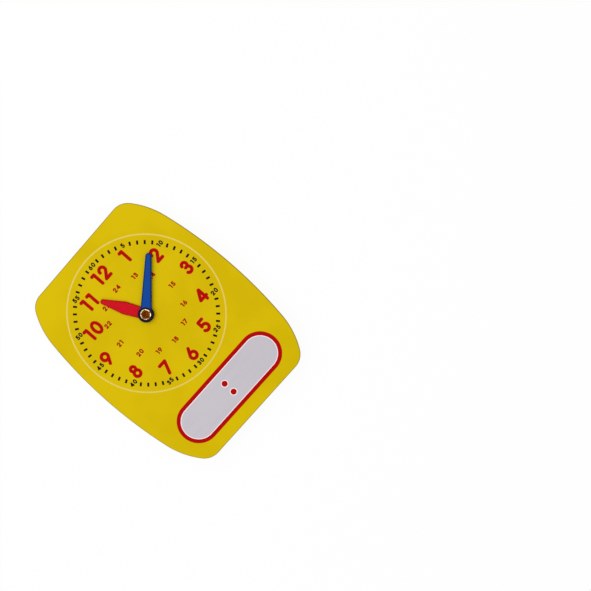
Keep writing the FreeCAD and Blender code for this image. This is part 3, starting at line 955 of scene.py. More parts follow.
def softened_copy(node: str, name: str, material: Material, width: float,
                  flat_angle: float = 1.0, edge_angle: float = 40.0) -> bpy.types.Object:
    """Copy a CAD node's shape and break its edges.

    Args:
        node: The CAD node.
        name: The new piece's name.
        material: Its finish.
        width: Width of the broken edges in millimetres.
        flat_angle: Faces that meet at a smaller angle in degrees become one.
        edge_angle: Edges with a larger angle in degrees are broken.

    Returns:
        The new piece.
    """
    mesh = frame["nodes"][node].data.copy()
    mesh.name = name
    mesh.materials.clear()
    mesh.materials.append(material)
    work = bmesh.new()
    work.from_mesh(mesh)
    bmesh.ops.remove_doubles(work, verts=work.verts, dist=MERGE_REACH * MILLIMETRE)
    bmesh.ops.dissolve_limit(work, angle_limit=math.radians(flat_angle), verts=work.verts, edges=work.edges)
    work.to_mesh(mesh)
    work.free()
    piece = linked(name, mesh)
    bevel = piece.modifiers.new("broken_edges", "BEVEL")
    bevel.width = width * MILLIMETRE
    bevel.segments = 2
    bevel.limit_method = "ANGLE"
    bevel.angle_limit = math.radians(edge_angle)
    applied(piece)
    return smoothed(piece)


class ShapeTree(Graph):
    """A Geometry Nodes tree with named inputs, whose result is kept as a plain mesh."""

    def __init__(self, name: str) -> None:
        """Start a tree.

        Args:
            name: The tree's name.
        """
        super().__init__(bpy.data.node_groups.new(name, "GeometryNodeTree"))
        self.tree.is_modifier = True
        self.tree.interface.new_socket("Geometry", in_out="OUTPUT", socket_type="NodeSocketGeometry")
        self.keys: dict[str, str] = {}
        self.lengths: set[str] = set()
        self.entry = self.node("NodeGroupInput")
        self.shape = self.asked("Shape", "NodeSocketGeometry")
        self.material = self.asked("Finish", "NodeSocketMaterial")

    def asked(self, name: str, kind: str) -> NodeSocket:
        """Add a named input.

        Args:
            name: The input's name.
            kind: Its socket type.

        Returns:
            The socket that carries it inside the tree.
        """
        item = self.tree.interface.new_socket(name, in_out="INPUT", socket_type=kind)
        self.keys[name] = item.identifier
        return socket_of(self.entry.outputs, item.identifier)

    def angle(self, name: str) -> Number:
        """Return a named input for an angle in radians."""
        return Number(self, self.asked(name, "NodeSocketFloat"))

    def length(self, name: str) -> Number:
        """Return a named input for a length, which is given in millimetres and arrives in metres."""
        self.lengths.add(name)
        return Number(self, self.asked(name, "NodeSocketFloat"))

    def whole(self, name: str) -> Number:
        """Return a named input for a whole number."""
        return Number(self, self.asked(name, "NodeSocketInt"))

    def pattern(self, name: str) -> NodeSocket:
        """Return the shape of another object, which is a named input."""
        source = self.asked(name, "NodeSocketObject")
        return self.out("GeometryNodeObjectInfo", {"Object": source}, output="Geometry")

    def swept(self, path: NodeSocket, profile: NodeSocket) -> NodeSocket:
        """Sweep a profile along a path.

        Args:
            path: A curve in the XY plane that runs counter-clockwise and whose normals point outwards.
            profile: A curve whose x is the way out from the path and whose y is the way down.

        Returns:
            The swept skin.
        """
        return self.out("GeometryNodeCurveToMesh", {"Curve": path, "Profile Curve": profile})

    def upright(self, curve: NodeSocket) -> NodeSocket:
        """Return a flat curve with its normals turned level, to point out of it."""
        return self.out("GeometryNodeSetCurveNormal", {"Curve": curve}, {"mode": "Z_UP"})

    def moved(self, shape: NodeSocket, offset: NodeSocket) -> NodeSocket:
        """Return a shape whose points are moved by an offset."""
        return self.out("GeometryNodeSetPosition", {"Geometry": shape, "Offset": offset})

    def segment(self, start: NodeSocket, end: NodeSocket) -> NodeSocket:
        """Return a straight line between two points."""
        return self.out("GeometryNodeCurvePrimitiveLine", {"Start": start, "End": end})

    def joined(self, *shapes: NodeSocket) -> NodeSocket:
        """Join shapes.

        Args:
            shapes: The shapes.

        Returns:
            One shape that holds them all.
        """
        node = self.node("GeometryNodeJoinGeometry")
        for shape in shapes:
            self.tree.links.new(shape, node.inputs[0])
        return node.outputs[0]

    def marked(self, shape: NodeSocket, name: str, value: Number | float) -> NodeSocket:
        """Return a shape that carries a named number at its points."""
        sockets = {"Geometry": shape, "Name": name, "Value": value}
        return self.out("GeometryNodeStoreNamedAttribute", sockets, {"domain": "POINT"})

    def copied(self, shape: NodeSocket, points: NodeSocket, angle: Number,
               kept: Number | bool) -> NodeSocket:
        """Set copies of a shape at points.

        Args:
            shape: The shape.
            points: A shape whose points carry the copies.
            angle: Each copy's turn about Z in radians.
            kept: Whether a point carries a copy.

        Returns:
            The copies.
        """
        turn = self.out("FunctionNodeEulerToRotation", {"Euler": self.vector(0.0, 0.0, angle)})
        sockets = {"Points": points, "Selection": kept, "Instance": shape, "Rotation": turn}
        return self.out("GeometryNodeInstanceOnPoints", sockets)

    def close(self, shape: NodeSocket) -> None:
        """End the tree with real copies, merged seams and the finish.

        Args:
            shape: What the tree has made.
        """
        real = self.out("GeometryNodeRealizeInstances", {"Geometry": shape})
        sockets = {"Geometry": real, "Distance": MERGE_REACH * MILLIMETRE}
        merged = self.out("GeometryNodeMergeByDistance", sockets)
        finished = self.out("GeometryNodeSetMaterial", {"Geometry": merged, "Material": self.material})
        self.node("NodeGroupOutput", {0: finished})

    def run(self, name: str, material: Material, values: dict,
            places: list[Vector] | None = None) -> bpy.types.Object:
        """Run the tree on a new object and keep its result as a plain mesh.

        Args:
            name: The piece's name.
            material: Its finish.
            values: The named inputs. Objects among them are only patterns, and are removed.
            places: Points in metres for the tree's own shape, if it uses them.

        Returns:
            The piece, smoothed and with no modifier left.
        """
        mesh = bpy.data.meshes.new(name)
        mesh.from_pydata(places or [], [], [])
        piece = linked(name, mesh)
        modifier = piece.modifiers.new(self.tree.name, "NODES")
        modifier.node_group = self.tree
        modifier[self.keys["Finish"]] = material
        for key, value in values.items():
            modifier[self.keys[key]] = value * MILLIMETRE if key in self.lengths else value
        applied(piece)
        for pattern in [value for value in values.values() if isinstance(value, bpy.types.Object)]:
            bpy.data.objects.remove(pattern)
        return smoothed(piece)


class SheetTree(ShapeTree):
    """Sheet that follows a closed outline, with rounded edges, a soft rise inside them and a hole."""

    curve_steps = 5
    hole_steps = 96
    rise_lean_share = 0.45

    def __init__(self) -> None:
        """Build the tree."""
        super().__init__("rounded_sheet")
        outline = self.upright(self.pattern("Outline"))
        bottom, top = self.length("Bottom"), self.length("Top")
        edge, rise_width, rise = self.length("Edge Radius"), self.length("Rise Width"), self.length("Rise")
        hole_radius, flat = self.length("Hole Radius"), self.length("Hole Half Width")
        turn = self.angle("Turn")
        shoulder = top - rise
        strips = [
            self.rounded(edge, -edge, edge - shoulder, -90.0),
            self.segment(self.vector(0.0, edge - shoulder, 0.0), self.vector(0.0, -bottom - edge, 0.0)),
            self.rounded(edge, -edge, -bottom - edge, 90.0),
        ]
        skins = [self.swept(outline, self.marked(strip, RIM, 1.0)) for strip in strips]
        skins.append(self.swept(outline, self.soft_rise(edge, rise_width, shoulder, top)))
        hole = self.flatted_circle(hole_radius, flat)
        wall = self.segment(self.vector(0.0, -bottom, 0.0), self.vector(0.0, -top, 0.0))
        skins.append(self.swept(hole, wall))
        skins.append(self.filled(outline, hole, edge + rise_width, top))
        skins.append(self.filled(outline, hole, edge, bottom))
        sockets = {"Geometry": self.joined(*skins), "Rotation": self.vector(0.0, 0.0, turn)}
        self.close(self.out("GeometryNodeTransform", sockets))

    def rounded(self, radius: Number, x: Number, y: Number, sweep: float) -> NodeSocket:
        """Draw a quarter circle that starts straight out from its centre.

        Args:
            radius: Its radius.
            x: The centre's distance out from the path.
            y: The centre's distance down.
            sweep: The angle in degrees that it turns through.

        Returns:
            The quarter circle.
        """
        sockets = {"Resolution": self.curve_steps, "Radius": radius, "Start Angle": 0.0,
                   "Sweep Angle": math.radians(sweep)}
        quarter = self.out("GeometryNodeCurveArc", sockets, {"mode": "RADIUS"})
        return self.moved(quarter, self.vector(x, y, 0.0))

    def soft_rise(self, edge: Number, width: Number, shoulder: Number, top: Number) -> NodeSocket:
        """Draw the low curve from the rounded edge to the flat middle, where the rim fades out.

        Args:
            edge: Radius of the rounded edge.
            width: Width of the curve.
            shoulder: Height at which it starts.
            top: Height at which it ends.

        Returns:
            The curve, whose points carry the strength of the rim.
        """
        sockets = {
            "Resolution": self.curve_steps,
            "Start": self.vector(-edge, -shoulder, 0.0),
            "Middle": self.vector(-edge - width * self.rise_lean_share, -top, 0.0),
            "End": self.vector(-edge - width, -top, 0.0),
        }
        curve = self.out("GeometryNodeCurveQuadraticBezier", sockets)
        share = self.number("GeometryNodeSplineParameter", output="Factor")
        return self.marked(curve, RIM, 1.0 - share)

    def flatted_circle(self, radius: Number, half_width: Number) -> NodeSocket:
        """Draw a circle that is cut flat on its left and right.

        Args:
            radius: Its radius.
            half_width: Distance of the flats from its centre.

        Returns:
            The closed curve.
        """
        sockets = {"Resolution": self.hole_steps, "Radius": radius}
        circle = self.out("GeometryNodeCurvePrimitiveCircle", sockets, {"mode": "RADIUS"})
        x, y, z = self.parts(self.out("GeometryNodeInputPosition"))
        kept = self.vector(x.at_most(half_width).at_least(-half_width), y, z)
        sockets = {"Geometry": circle, "Position": kept}
        return self.upright(self.out("GeometryNodeSetPosition", sockets))

    def filled(self, outline: NodeSocket, hole: NodeSocket, inset: Number, height: Number) -> NodeSocket:
        """Fill the flat part of a face.

        Args:
            outline: The sheet's outline.
            hole: The hole's outline.
            inset: Distance from the sheet's outline at which the flat part starts.
            height: The height of the face.

        Returns:
            The face.
        """
        normal = self.out("GeometryNodeInputNormal")
        inner = self.moved(outline, self.scaled(normal, -inset))
        face = self.out("GeometryNodeFillCurve", {"Curve": self.joined(inner, hole)}, {"mode": "TRIANGLES"})
        return self.moved(self.marked(face, RIM, 0.0), self.vector(0.0, 0.0, height))


class TurnedTree(ShapeTree):
    """Round piece that a closed section makes as it goes once round the arbor."""

    def __init__(self) -> None:
        """Build the tree."""
        super().__init__("turned_piece")
        section = self.pattern("Section")
        guide = self.length("Guide Radius")
        sockets = {"Resolution": self.whole("Segments"), "Radius": guide}
        circle = self.out("GeometryNodeCurvePrimitiveCircle", sockets, {"mode": "RADIUS"})
        profile = self.moved(section, self.vector(-guide, 0.0, 0.0))
        self.close(self.swept(self.upright(circle), profile))


class MarkTree(ShapeTree):
    """Marks round a circle, with every so-many left out."""

    def __init__(self) -> None:
        """Build the tree."""
        super().__init__("round_of_marks")
        mark = self.pattern("Mark")
        sockets = {"Vertices": self.whole("Count"), "Radius": self.length("Radius")}
        circle = self.out("GeometryNodeMeshCircle", sockets)
        kept = self.number("GeometryNodeInputIndex").calculated("MODULO", self.whole("Left Out Every"))
        x, y, _ = self.parts(self.out("GeometryNodeInputPosition"))
        self.close(self.copied(mark, circle, y.bearing(x), kept))


class ScrewTree(ShapeTree):
    """Screws at the places of the tree's own points, each left at its own turn."""

    def __init__(self) -> None:
        """Build the tree."""
        super().__init__("set_of_screws")
        screw = self.pattern("Screw")
        sockets = {"Min_001": 0.0, "Max_001": math.tau, "Seed": self.whole("Seed")}
        angle = self.number("FunctionNodeRandomValue", sockets, {"data_type": "FLOAT"}, "Value_001")
        self.close(self.copied(screw, self.shape, angle, True))


# The clock

@dataclass
class DialPlate:
    """Bulged yellow sheet, whose sides run through three tangent arcs into its straight ends."""

    half_width: float = 55.4
    top: float = 54.2
    bottom: float = 86.4
    widest_drop: float = 19.8
    side_radius: float = 280.0
    shoulder_radius: float = 50.4
    end_radius: float = 11.35
    shoulder_end_angle: float = 34.4
    thickness: float = PLATE_THICKNESS
    edge_radius: float = 0.25
    rim_width: float = 0.35
    hole_radius: float = 4.36
    point_step: float = 0.9

    def quarter(self, height: float) -> list[Point]:
        """Draw one quarter of the outline.

        Args:
            height: Height of the straight end over the widest place.

        Returns:
            The points from the widest place on the right to the straight end.
        """
        sine = math.sin(math.radians(self.shoulder_end_angle))
        rise = height - self.shoulder_radius * sine - self.end_radius * (1 - sine)
        side_end = math.degrees(math.asin(rise / (self.side_radius - self.shoulder_radius)))
        side = (self.half_width - self.side_radius, 0.0)
        shoulder = polar(side, self.side_radius - self.shoulder_radius, side_end)
        end = polar(shoulder, self.shoulder_radius - self.end_radius, self.shoulder_end_angle)
        arcs = [
            (side, self.side_radius, 0.0, side_end),
            (shoulder, self.shoulder_radius, side_end, self.shoulder_end_angle),
            (end, self.end_radius, self.shoulder_end_angle, 90.0),
        ]
        return [point for arc in arcs for point in arc_points(*arc, self.point_step)]

    def outline(self) -> list[Point]:
        """Draw the whole outline.

        Returns:
            Its points, counter-clockwise.
        """
        upper = self.quarter(self.top + self.widest_drop)
        lower = [(x, -y) for x, y in self.quarter(self.bottom - self.widest_drop)]
        points = upper + mirrored(upper) + mirrored(list(reversed(lower))) + list(reversed(lower))
        return without_repeats([(x, y - self.widest_drop) for x, y in points])

    def build(self, sheet: SheetTree, material: Material) -> None:
        """Make the sheet.

        Args:
            sheet: Tree that makes a sheet from an outline.
            material: The sheet's finish.
        """
        values = {
            "Outline": path_object("plate_outline", self.outline()),
            "Bottom": -self.thickness,
            "Top": 0.0,
            "Edge Radius": self.edge_radius,
            "Rise Width": self.rim_width,
            "Rise": 0.0,
            "Hole Radius": self.hole_radius,
            "Hole Half Width": self.hole_radius,
            "Turn": 0.0,
        }
        placed(sheet.run("plate_sheet", material, values), "yellow_sheet", "dial_plate")


@dataclass
class PrintedDial:
    """The dial's ink: numbers, the pale ring and the minute marks."""

    track_radius: float = 42.25
    tick_length: float = 2.4
    tick_width: float = 1.2
    tick_corner_radius: float = 0.2
    minutes: int = 60
    minutes_per_number: int = 5
    ink_thickness: float = 0.06
    ink_edge: float = 0.02
    dark_tint: Tint = Tint(18, 10, 6)
    red_tint: Tint = Tint(187, 0, 0)
    small_red_tint: Tint = Tint(172, 0, 0)
    pale_tint: Tint = Tint(231, 206, 98)

    def mark(self) -> bpy.types.Object:
        """Make one minute mark along +X, with round corners and soft edges.

        Returns:
            The mark, to be removed once it has been used.
        """
        radius = self.tick_corner_radius
        reach, half = self.tick_length / 2 - radius, self.tick_width / 2 - radius
        centres = [(reach, half), (-reach, half), (-reach, -half), (reach, -half)]
        shoulder_z = self.ink_thickness - self.ink_edge
        work = bmesh.new()
        loops = []
        for inset, z in ((0.0, 0.0), (0.0, shoulder_z), (self.ink_edge, self.ink_thickness)):
            rounding = radius - inset
            outline = []
            for turn, centre in enumerate(centres):
                outline += arc_points(centre, rounding, 90.0 * turn, 90.0 * (turn + 1), rounding / 2)
            loops.append(loop_of(work, outline, z))
        skin(work, loops)
        work.faces.new(loops[-1])
        work.faces.new(list(reversed(loops[0])))
        return mesh_pattern("minute_mark", work)

    def build(self, marks: MarkTree) -> None:
        """Make the minute marks, and dress the printed nodes.

        Args:
            marks: Tree that sets marks round a circle.
        """
        dark = ScreenInk(name="dark_ink", tint=self.dark_tint, thin_share=0.8, pinhole_share=1.3).material()
        red = ScreenInk(name="red_ink", tint=self.red_tint).material()
        small_red = ScreenInk(name="small_red_ink", tint=self.small_red_tint).material()
        pale = ScreenInk(
            name="pale_ink", tint=self.pale_tint, thin_share=0.96, pinhole_share=0.85,
        ).material()
        values = {
            "Mark": self.mark(),
            "Count": self.minutes,
            "Radius": self.track_radius,
            "Left Out Every": self.minutes_per_number,
        }
        placed(marks.run("minute_marks", dark, values), "dark_ink", "minute_ticks")
        inks = {"minute_numerals": dark, "hour_numerals": red, "day_hour_numerals": small_red,
                "dial_ring": pale, "panel_border": red, "panel_colon": red}
        for node, ink in inks.items():
            dressed(node, ink)


class HandKind(Enum):
    """Which of the two hands a piece is."""

    MINUTE = "minute_hand"
    HOUR = "hour_hand"


@dataclass
class Hand:
    """Moulded hand: a round hub, and an arm that runs tangent to circles, each a height and a radius."""

    kind: HandKind
    clock_angle: float
    hub_radius: float
    circles: list[tuple[float, float]]
    bottom: float
    top: float
    seat_radius: float
    seat_half_width: float
    rise_width: float
    edge_radius: float = 0.28
    rise: float = 0.1
    fillet: float = 0.7
    point_step: float = 0.22

    def hub_fillet(self, lean: float, root: float) -> list[Point]:
        """Draw the hollow between the hub and the right side of the arm.

        Args:
            lean: Angle of the side's outward normal in degrees.
            root: Distance of the side's line from the arbor.

        Returns:
            The points from the hub to the side.
        """
        reach = math.sqrt((self.hub_radius + self.fillet) ** 2 - (root + self.fillet) ** 2)
        foot = polar((0.0, 0.0), root + self.fillet, lean)
        centre = polar(foot, reach, lean + 90.0)
        heading = math.degrees(math.atan2(centre[1], centre[0]))
        return arc_points(centre, self.fillet, heading + 180.0, lean + 180.0, self.point_step)

    def outline(self) -> list[Point]:
        """Draw the outline of the hand as it points to twelve.

        Returns:
            Its points, counter-clockwise.
        """
        leans = []
        for (low, low_radius), (high, high_radius) in zip(self.circles, self.circles[1:]):
            leans.append(90.0 - math.degrees(math.acos((low_radius - high_radius) / (high - low))))
        side = self.hub_fillet(leans[0], self.circles[0][1])
        for (height, radius), lean, next_lean in zip(self.circles[1:], leans, leans[1:] + [90.0]):
            side += arc_points((0.0, height), radius, lean, next_lean, self.point_step)
        start = math.degrees(math.atan2(side[0][1], side[0][0]))
        hub = arc_points((0.0, 0.0), self.hub_radius, 180.0 - start, 360.0 + start, self.point_step)
        return without_repeats(side + mirrored(side) + hub)

    def build(self, sheet: SheetTree, finish: HandPlastic, slot: str) -> None:
        """Make the hand.

        Args:
            sheet: Tree that makes a sheet from an outline.
            finish: The hand's finish.
            slot: The record's material slot.
        """
        values = {
            "Outline": path_object(self.kind.value + "_outline", self.outline()),
            "Bottom": self.bottom,
            "Top": self.top,
            "Edge Radius": self.edge_radius,
            "Rise Width": self.rise_width,
            "Rise": self.rise,
            "Hole Radius": self.seat_radius,
            "Hole Half Width": self.seat_half_width,
            "Turn": -math.radians(self.clock_angle),
        }
        piece = sheet.run("moulded_" + self.kind.value, finish.material(), values)
        placed(piece, slot, self.kind.value)


@dataclass
class HubEyelet:
    """Hollow brass eyelet, rolled over the minute hand in front and over its washer behind."""

    bore_radius: float = 2.3
    wall: float = 0.3
    roll_radius: float = 0.525
    lip_angle: float = 23.0
    front_z: float = 2.25
    back_z: float = -8.3
    washer_thickness: float = 0.35
    washer_bore: float = 2.62
    washer_radius: float = 4.55
    washer_edge: float = 0.1
    point_step: float = 0.05
    segments: int = 128

    def roll(self, seat_z: float, side: int) -> list[Point]:
        """Draw the section of one rolled end.

        Args:
            seat_z: Height of the face that the roll grips.
            side: 1 for the front end and -1 for the rear one.

        Returns:
            The points from the bore over the crown and the lip, back to the outside of the tube.
        """
        middle = (self.bore_radius + self.roll_radius, seat_z)
        inner_radius = self.roll_radius - self.wall
        lip = polar(middle, (self.roll_radius + inner_radius) / 2, side * self.lip_angle)
        start, end = side * 180.0, side * self.lip_angle
        points = arc_points(middle, self.roll_radius, start, end, self.point_step)
        points += arc_points(lip, self.wall / 2, end, end - start, self.point_step)[1:-1]
        return points + arc_points(middle, inner_radius, end, start, self.point_step)

    def section(self) -> list[Point]:
        """Return the closed section as (radius, depth) pairs."""
        points = self.roll(self.front_z, 1) + list(reversed(self.roll(self.back_z, -1)))
        return without_repeats([(radius, -z) for radius, z in points])

    def washer_section(self) -> list[Point]:
        """Draw the section of the rear washer, with its four edges rounded.

        Returns:
            Its points as (radius, depth) pairs.
        """
        low, high = -self.back_z - self.washer_thickness, -self.back_z
        reach = self.washer_edge
        corners = [
            ((self.washer_radius - reach, low + reach), -90.0),
            ((self.washer_radius - reach, high - reach), 0.0),
            ((self.washer_bore + reach, high - reach), 90.0),
            ((self.washer_bore + reach, low + reach), 180.0),
        ]
        points = []
        for centre, angle in corners:
            points += arc_points(centre, reach, angle, angle + 90.0, self.point_step)
        return without_repeats(points)

    def build(self, turned: TurnedTree, material: Material) -> None:
        """Make the eyelet and its washer.

        Args:
            turned: Tree that turns a section round the arbor.
            material: The brass.
        """
        for name, section, node in (("rolled_eyelet", self.section(), "hub_eyelet"),
                                    ("eyelet_washer", self.washer_section(), "rear_washer")):
            values = {
                "Section": path_object(name + "_section", section),
                "Guide Radius": self.bore_radius,
                "Segments": self.segments,
            }
            placed(turned.run(name, material, values), "brass", node)


@dataclass
class Gearbox:
    """The two shells, their tape and their four screws."""

    column_x: float = 14.15
    column_top_y: float = 14.15
    column_bottom_y: float = -32.05
    edge_width: float = 0.18
    head_radius: float = 1.5
    head_back_z: float = -8.775
    seat_z: float = -7.925
    shank_radius: float = 0.75
    shank_end_z: float = -3.725
    tip_length: float = 0.7
    tip_share: float = 1 / 3
    head_edge: float = 0.2
    head_edge_steps: int = 3
    recess_reach: float = 1.0
    recess_half_width: float = 0.2
    recess_depth: float = 0.4
    recess_taper_share: float = 0.55
    head_points: int = 48
    seed: int = 5

    def cross(self, share: float) -> list[Point]:
        """Draw the outline of the cross recess.

        Args:
            share: Share of its full size that it is drawn at.

        Returns:
            Its points, counter-clockwise.
        """
        reach, half = self.recess_reach * share, self.recess_half_width * share
        points = []
        arm = [(half, -half), (reach, -half), (reach, half)]
        for _ in range(4):
            points += arm
            arm = [(-y, x) for x, y in arm]
        return points

    def screw(self) -> bpy.types.Object:
        """Make one screw on the Z axis, with its head to the back.

        Returns:
            The screw, to be removed once it has been used.
        """
        turns = [math.pi / 2 * step / self.head_edge_steps for step in range(self.head_edge_steps + 1)]
        sizes = [(self.head_radius - self.head_edge * (1 - math.sin(turn)),
                  self.head_back_z + self.head_edge * (1 - math.cos(turn))) for turn in turns]
        sizes += [(self.head_radius, self.seat_z), (self.shank_radius, self.seat_z)]
        sizes.append((self.shank_radius, self.shank_end_z - self.tip_length))
        sizes.append((self.shank_radius * self.tip_share, self.shank_end_z))
        angles = [360 * index / self.head_points for index in range(self.head_points)]
        work = bmesh.new()
        loops = [loop_of(work, [polar((0.0, 0.0), radius, angle) for angle in angles], z)
                 for radius, z in sizes]
        skin(work, loops)
        work.faces.new(loops[-1])
        mouth = loop_of(work, self.cross(1.0), self.head_back_z)
        floor = loop_of(work, self.cross(self.recess_taper_share), self.head_back_z + self.recess_depth)
        skin(work, [mouth, floor])
        work.faces.new(floor)
        rims = [work.edges.get((run[index - 1], run[index])) for run in (loops[0], mouth)
                for index in range(len(run))]
        bmesh.ops.triangle_fill(work, use_beauty=True, edges=rims)
        return mesh_pattern("screw_pattern", work)

    def build(self, screws: ScrewTree, plastic: Material, steel: Material, foam: Material) -> None:
        """Make the shells and the screws, and dress the tape.

        Args:
            screws: Tree that sets screws at given places.
            plastic: Finish of the shells.
            steel: Finish of the screws.
            foam: Finish of the tape.
        """
        for node, name in (("gearbox_base", "front_shell"), ("gearbox_cover", "rear_shell")):
            placed(softened_copy(node, name, plastic, self.edge_width), "box_plastic", node)
        places = [Vector((x, y, 0.0)) * MILLIMETRE for x in (-self.column_x, self.column_x)
                  for y in (self.column_bottom_y, self.column_top_y)]
        values = {"Screw": self.screw(), "Seed": self.seed}
        placed(screws.run("shell_screws", steel, values, places), "steel", "cover_screws")
        dressed("adhesive_pad", foam)


@dataclass
class GearTrain:
    """The gears, their pin and the friction washer, which keep their CAD shapes."""

    gear_nodes: tuple[str, ...] = ("minute_arbor", "hour_wheel", "transfer_gear")
    steel_nodes: tuple[str, ...] = ("transfer_pin", "friction_washer")

    def build(self, plastic: Material, steel: Material) -> None:
        """Dress the gears, the pin and the washer.

        Args:
            plastic: Finish of the gears.
            steel: Finish of the pin and the washer.
        """
        for node in self.gear_nodes:
            dressed(node, plastic)
        for node in self.steel_nodes:
            dressed(node, steel)


# The studio

@dataclass
class Lamp:
    """A large soft lamp."""

    name: str
    place: Vector
    size: float
    power: float

    def build(self, aim: Vector) -> None:
        """Hang the lamp.

        Args:
            aim: The point in millimetres that it is turned to.
        """
        data = bpy.data.lights.new(self.name, "AREA")
        data.shape = "DISK"
        data.size = self.size * MILLIMETRE
        data.energy = self.power
        lamp = linked(self.name, data)
        lamp.location = self.place * MILLIMETRE
        lamp.rotation_euler = (self.place - aim).to_track_quat("Z", "Y").to_euler()


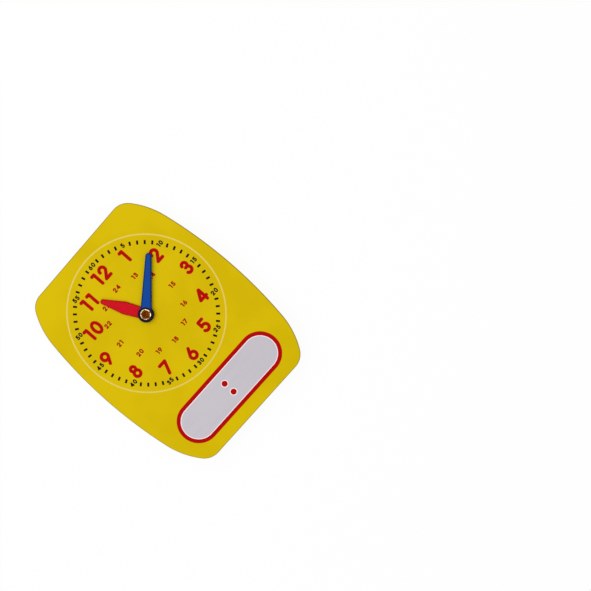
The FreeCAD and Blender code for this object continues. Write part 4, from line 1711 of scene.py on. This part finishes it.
@dataclass
class Studio:
    """Pale floor, white surroundings, soft lamps and the camera."""

    floor_z: float = REST_Z
    floor_half_size: float = 1500.0
    floor_tint: Tint = Tint(250, 250, 250)
    dust: Grain = Grain(60.0)
    dust_share: float = 0.02
    dusty_share: float = 0.9
    # Painted shade: the floor under the bore, seen only through the bore, is painted brown
    bore_shade_tint: Tint = Tint(226, 160, 50)
    bore_shade_radius: float = 14.0
    floor_glow: float = 0.93
    surroundings: float = 0.64
    camera_place: Vector = field(default_factory=lambda: Vector((108.9135, -27.6821, 496.4722)))
    camera_aim: Vector = field(default_factory=lambda: Vector((66.4448, -58.2103, 0.0)))
    camera_roll: float = -48.513
    focal_length: float = 51.9147
    nearest_seen: float = 10.0
    lamp_aim: Vector = field(default_factory=lambda: Vector((0.0, -16.0, 0.0)))
    lamps: list[Lamp] = field(default_factory=lambda: [
        Lamp("key_lamp", Vector((-40.0, 360.0, 620.0)), size=1000.0, power=2.6),
        Lamp("fill_lamp", Vector((-600.0, -200.0, 900.0)), size=900.0, power=1.2),
    ])

    def seen_directly(self, graph: Graph) -> Number:
        """Return 1 for what the camera sees, directly or in metal and glass."""
        names = ("Is Camera Ray", "Is Glossy Ray", "Is Transmission Ray")
        return sum(graph.number("ShaderNodeLightPath", output=name) for name in names).at_most(1.0)

    def build_floor(self) -> None:
        """Lay the floor, with painted brown shade under the bore, where its glow fades. From below it can be
        seen through.
        """
        surface = Surface("pale_floor")
        dust = self.dust.on(surface) * self.dust_share
        colour = surface.mixed(dust, self.floor_tint, self.floor_tint.scaled(self.dusty_share))
        # Painted brown shade under the bore, which also takes away the floor's glow there
        bore_shade = surface.rise(surface.radius(), self.bore_shade_radius, self.bore_shade_radius / 2)
        colour = surface.mixed(bore_shade, colour, self.bore_shade_tint)
        matte = surface.out("ShaderNodeBsdfDiffuse", {"Color": colour})
        glow = surface.out("ShaderNodeEmission", {"Strength": 1.0})
        share = self.seen_directly(surface) * (1 - bore_shade) * self.floor_glow
        lit = surface.out("ShaderNodeMixShader", {0: share, 1: matte, 2: glow})
        clear = surface.out("ShaderNodeBsdfTransparent")
        from_below = surface.out("ShaderNodeNewGeometry", output="Backfacing")
        seen = surface.out("ShaderNodeMixShader", {0: from_below, 1: lit, 2: clear})
        surface.node("ShaderNodeOutputMaterial", {"Surface": seen})
        reach = self.floor_half_size
        corners = [(-reach, -reach), (reach, -reach), (reach, reach), (-reach, reach)]
        mesh = bpy.data.meshes.new("floor")
        places = [Vector((x, y, self.floor_z)) * MILLIMETRE for x, y in corners]
        mesh.from_pydata(places, [], [(0, 1, 2, 3)])
        mesh.materials.append(surface.material)
        floor = linked("floor", mesh)
        floor.visible_diffuse = False
        floor.visible_shadow = False

    def build_surroundings(self) -> None:
        """Make the world white to look at, and softer as a light."""
        world = bpy.data.worlds.new("white_surroundings")
        world.use_nodes = True
        graph = Graph(world.node_tree)
        graph.tree.nodes.clear()
        strength = self.surroundings + (1 - self.surroundings) * self.seen_directly(graph)
        sky = graph.out("ShaderNodeBackground", {"Color": (1.0, 1.0, 1.0, 1.0), "Strength": strength})
        graph.node("ShaderNodeOutputWorld", {"Surface": sky})
        bpy.context.scene.world = world

    def build_camera(self) -> None:
        """Set the camera at the photograph's angle."""
        data = bpy.data.cameras.new("camera")
        data.lens = self.focal_length
        data.clip_start = self.nearest_seen * MILLIMETRE
        camera = linked("camera", data)
        back = (self.camera_place - self.camera_aim).normalized()
        level = (Vector((0.0, 1.0, 0.0)) - back * back.y).normalized()
        up = Quaternion(back, math.radians(self.camera_roll)) @ level
        axes = Matrix((up.cross(back), up, back)).transposed()
        camera.matrix_world = Matrix.Translation(self.camera_place * MILLIMETRE) @ axes.to_4x4()
        bpy.context.scene.camera = camera

    def build(self) -> None:
        """Set up the floor, the light and the camera."""
        self.build_floor()
        self.build_surroundings()
        for lamp in self.lamps:
            lamp.build(self.lamp_aim)
        self.build_camera()
        bpy.context.scene.view_settings.view_transform = "Standard"
        logger.info("set up the studio with %d lamps", len(self.lamps))


def hands() -> list[tuple[Hand, HandPlastic, str]]:
    """Describe both hands.

    Returns:
        Each hand with its finish and its material slot.
    """
    minute = Hand(
        kind=HandKind.MINUTE, clock_angle=51.9, hub_radius=4.85, circles=[(0.0, 3.4), (34.3, 1.8)],
        bottom=1.35, top=2.25, seat_radius=3.17, seat_half_width=2.97, rise_width=1.05,
    )
    # The blue hand's edge and hub tints are painted shade
    blue = HandPlastic(
        name="blue_hand_plastic", tint=Tint(3, 70, 150), flow_tint=Tint(14, 64, 152),
        edge_shade_tint=Tint(10, 38, 88), hub_shade_tint=Tint(13, 12, 28),
        hub=HubShade(clock_angle=minute.clock_angle, hub_edge=5.1, root_edge=4.3),
    )
    hour = Hand(
        kind=HandKind.HOUR, clock_angle=334.325, hub_radius=4.71,
        circles=[(0.0, 3.35), (13.3, 3.8), (26.45, 1.45)],
        bottom=0.3, top=1.2, seat_radius=3.93, seat_half_width=3.73, rise_width=0.45,
    )
    # The red hand's edge and hub tints are painted shade
    red = HandPlastic(
        name="red_hand_plastic", tint=Tint(203, 2, 26), flow_tint=Tint(197, 0, 32),
        edge_shade_tint=Tint(156, 0, 6), hub_shade_tint=Tint(110, 8, 32),
        hub=HubShade(clock_angle=hour.clock_angle, hub_edge=4.9, root_edge=4.9),
    )
    return [(minute, blue, "blue_plastic"), (hour, red, "red_plastic")]


def main() -> None:
    """Build every piece in order."""
    logging.basicConfig(level=logging.INFO, format="%(name)s: %(message)s")
    sheet = SheetTree()
    steel = ZincSteel().material()
    Studio().build()
    DialPlate().build(sheet, SheetPlastic().material())
    PrintedDial().build(MarkTree())
    dressed("writing_panel", WipeCleanFilm().material())
    for hand, finish, slot in hands():
        hand.build(sheet, finish, slot)
    HubEyelet().build(TurnedTree(), RolledBrass().material())
    Gearbox().build(ScrewTree(), BoxPlastic().material(), steel, FoamTape().material())
    GearTrain().build(GearPlastic().material(), steel)


if __name__ == "__main__":
    main()
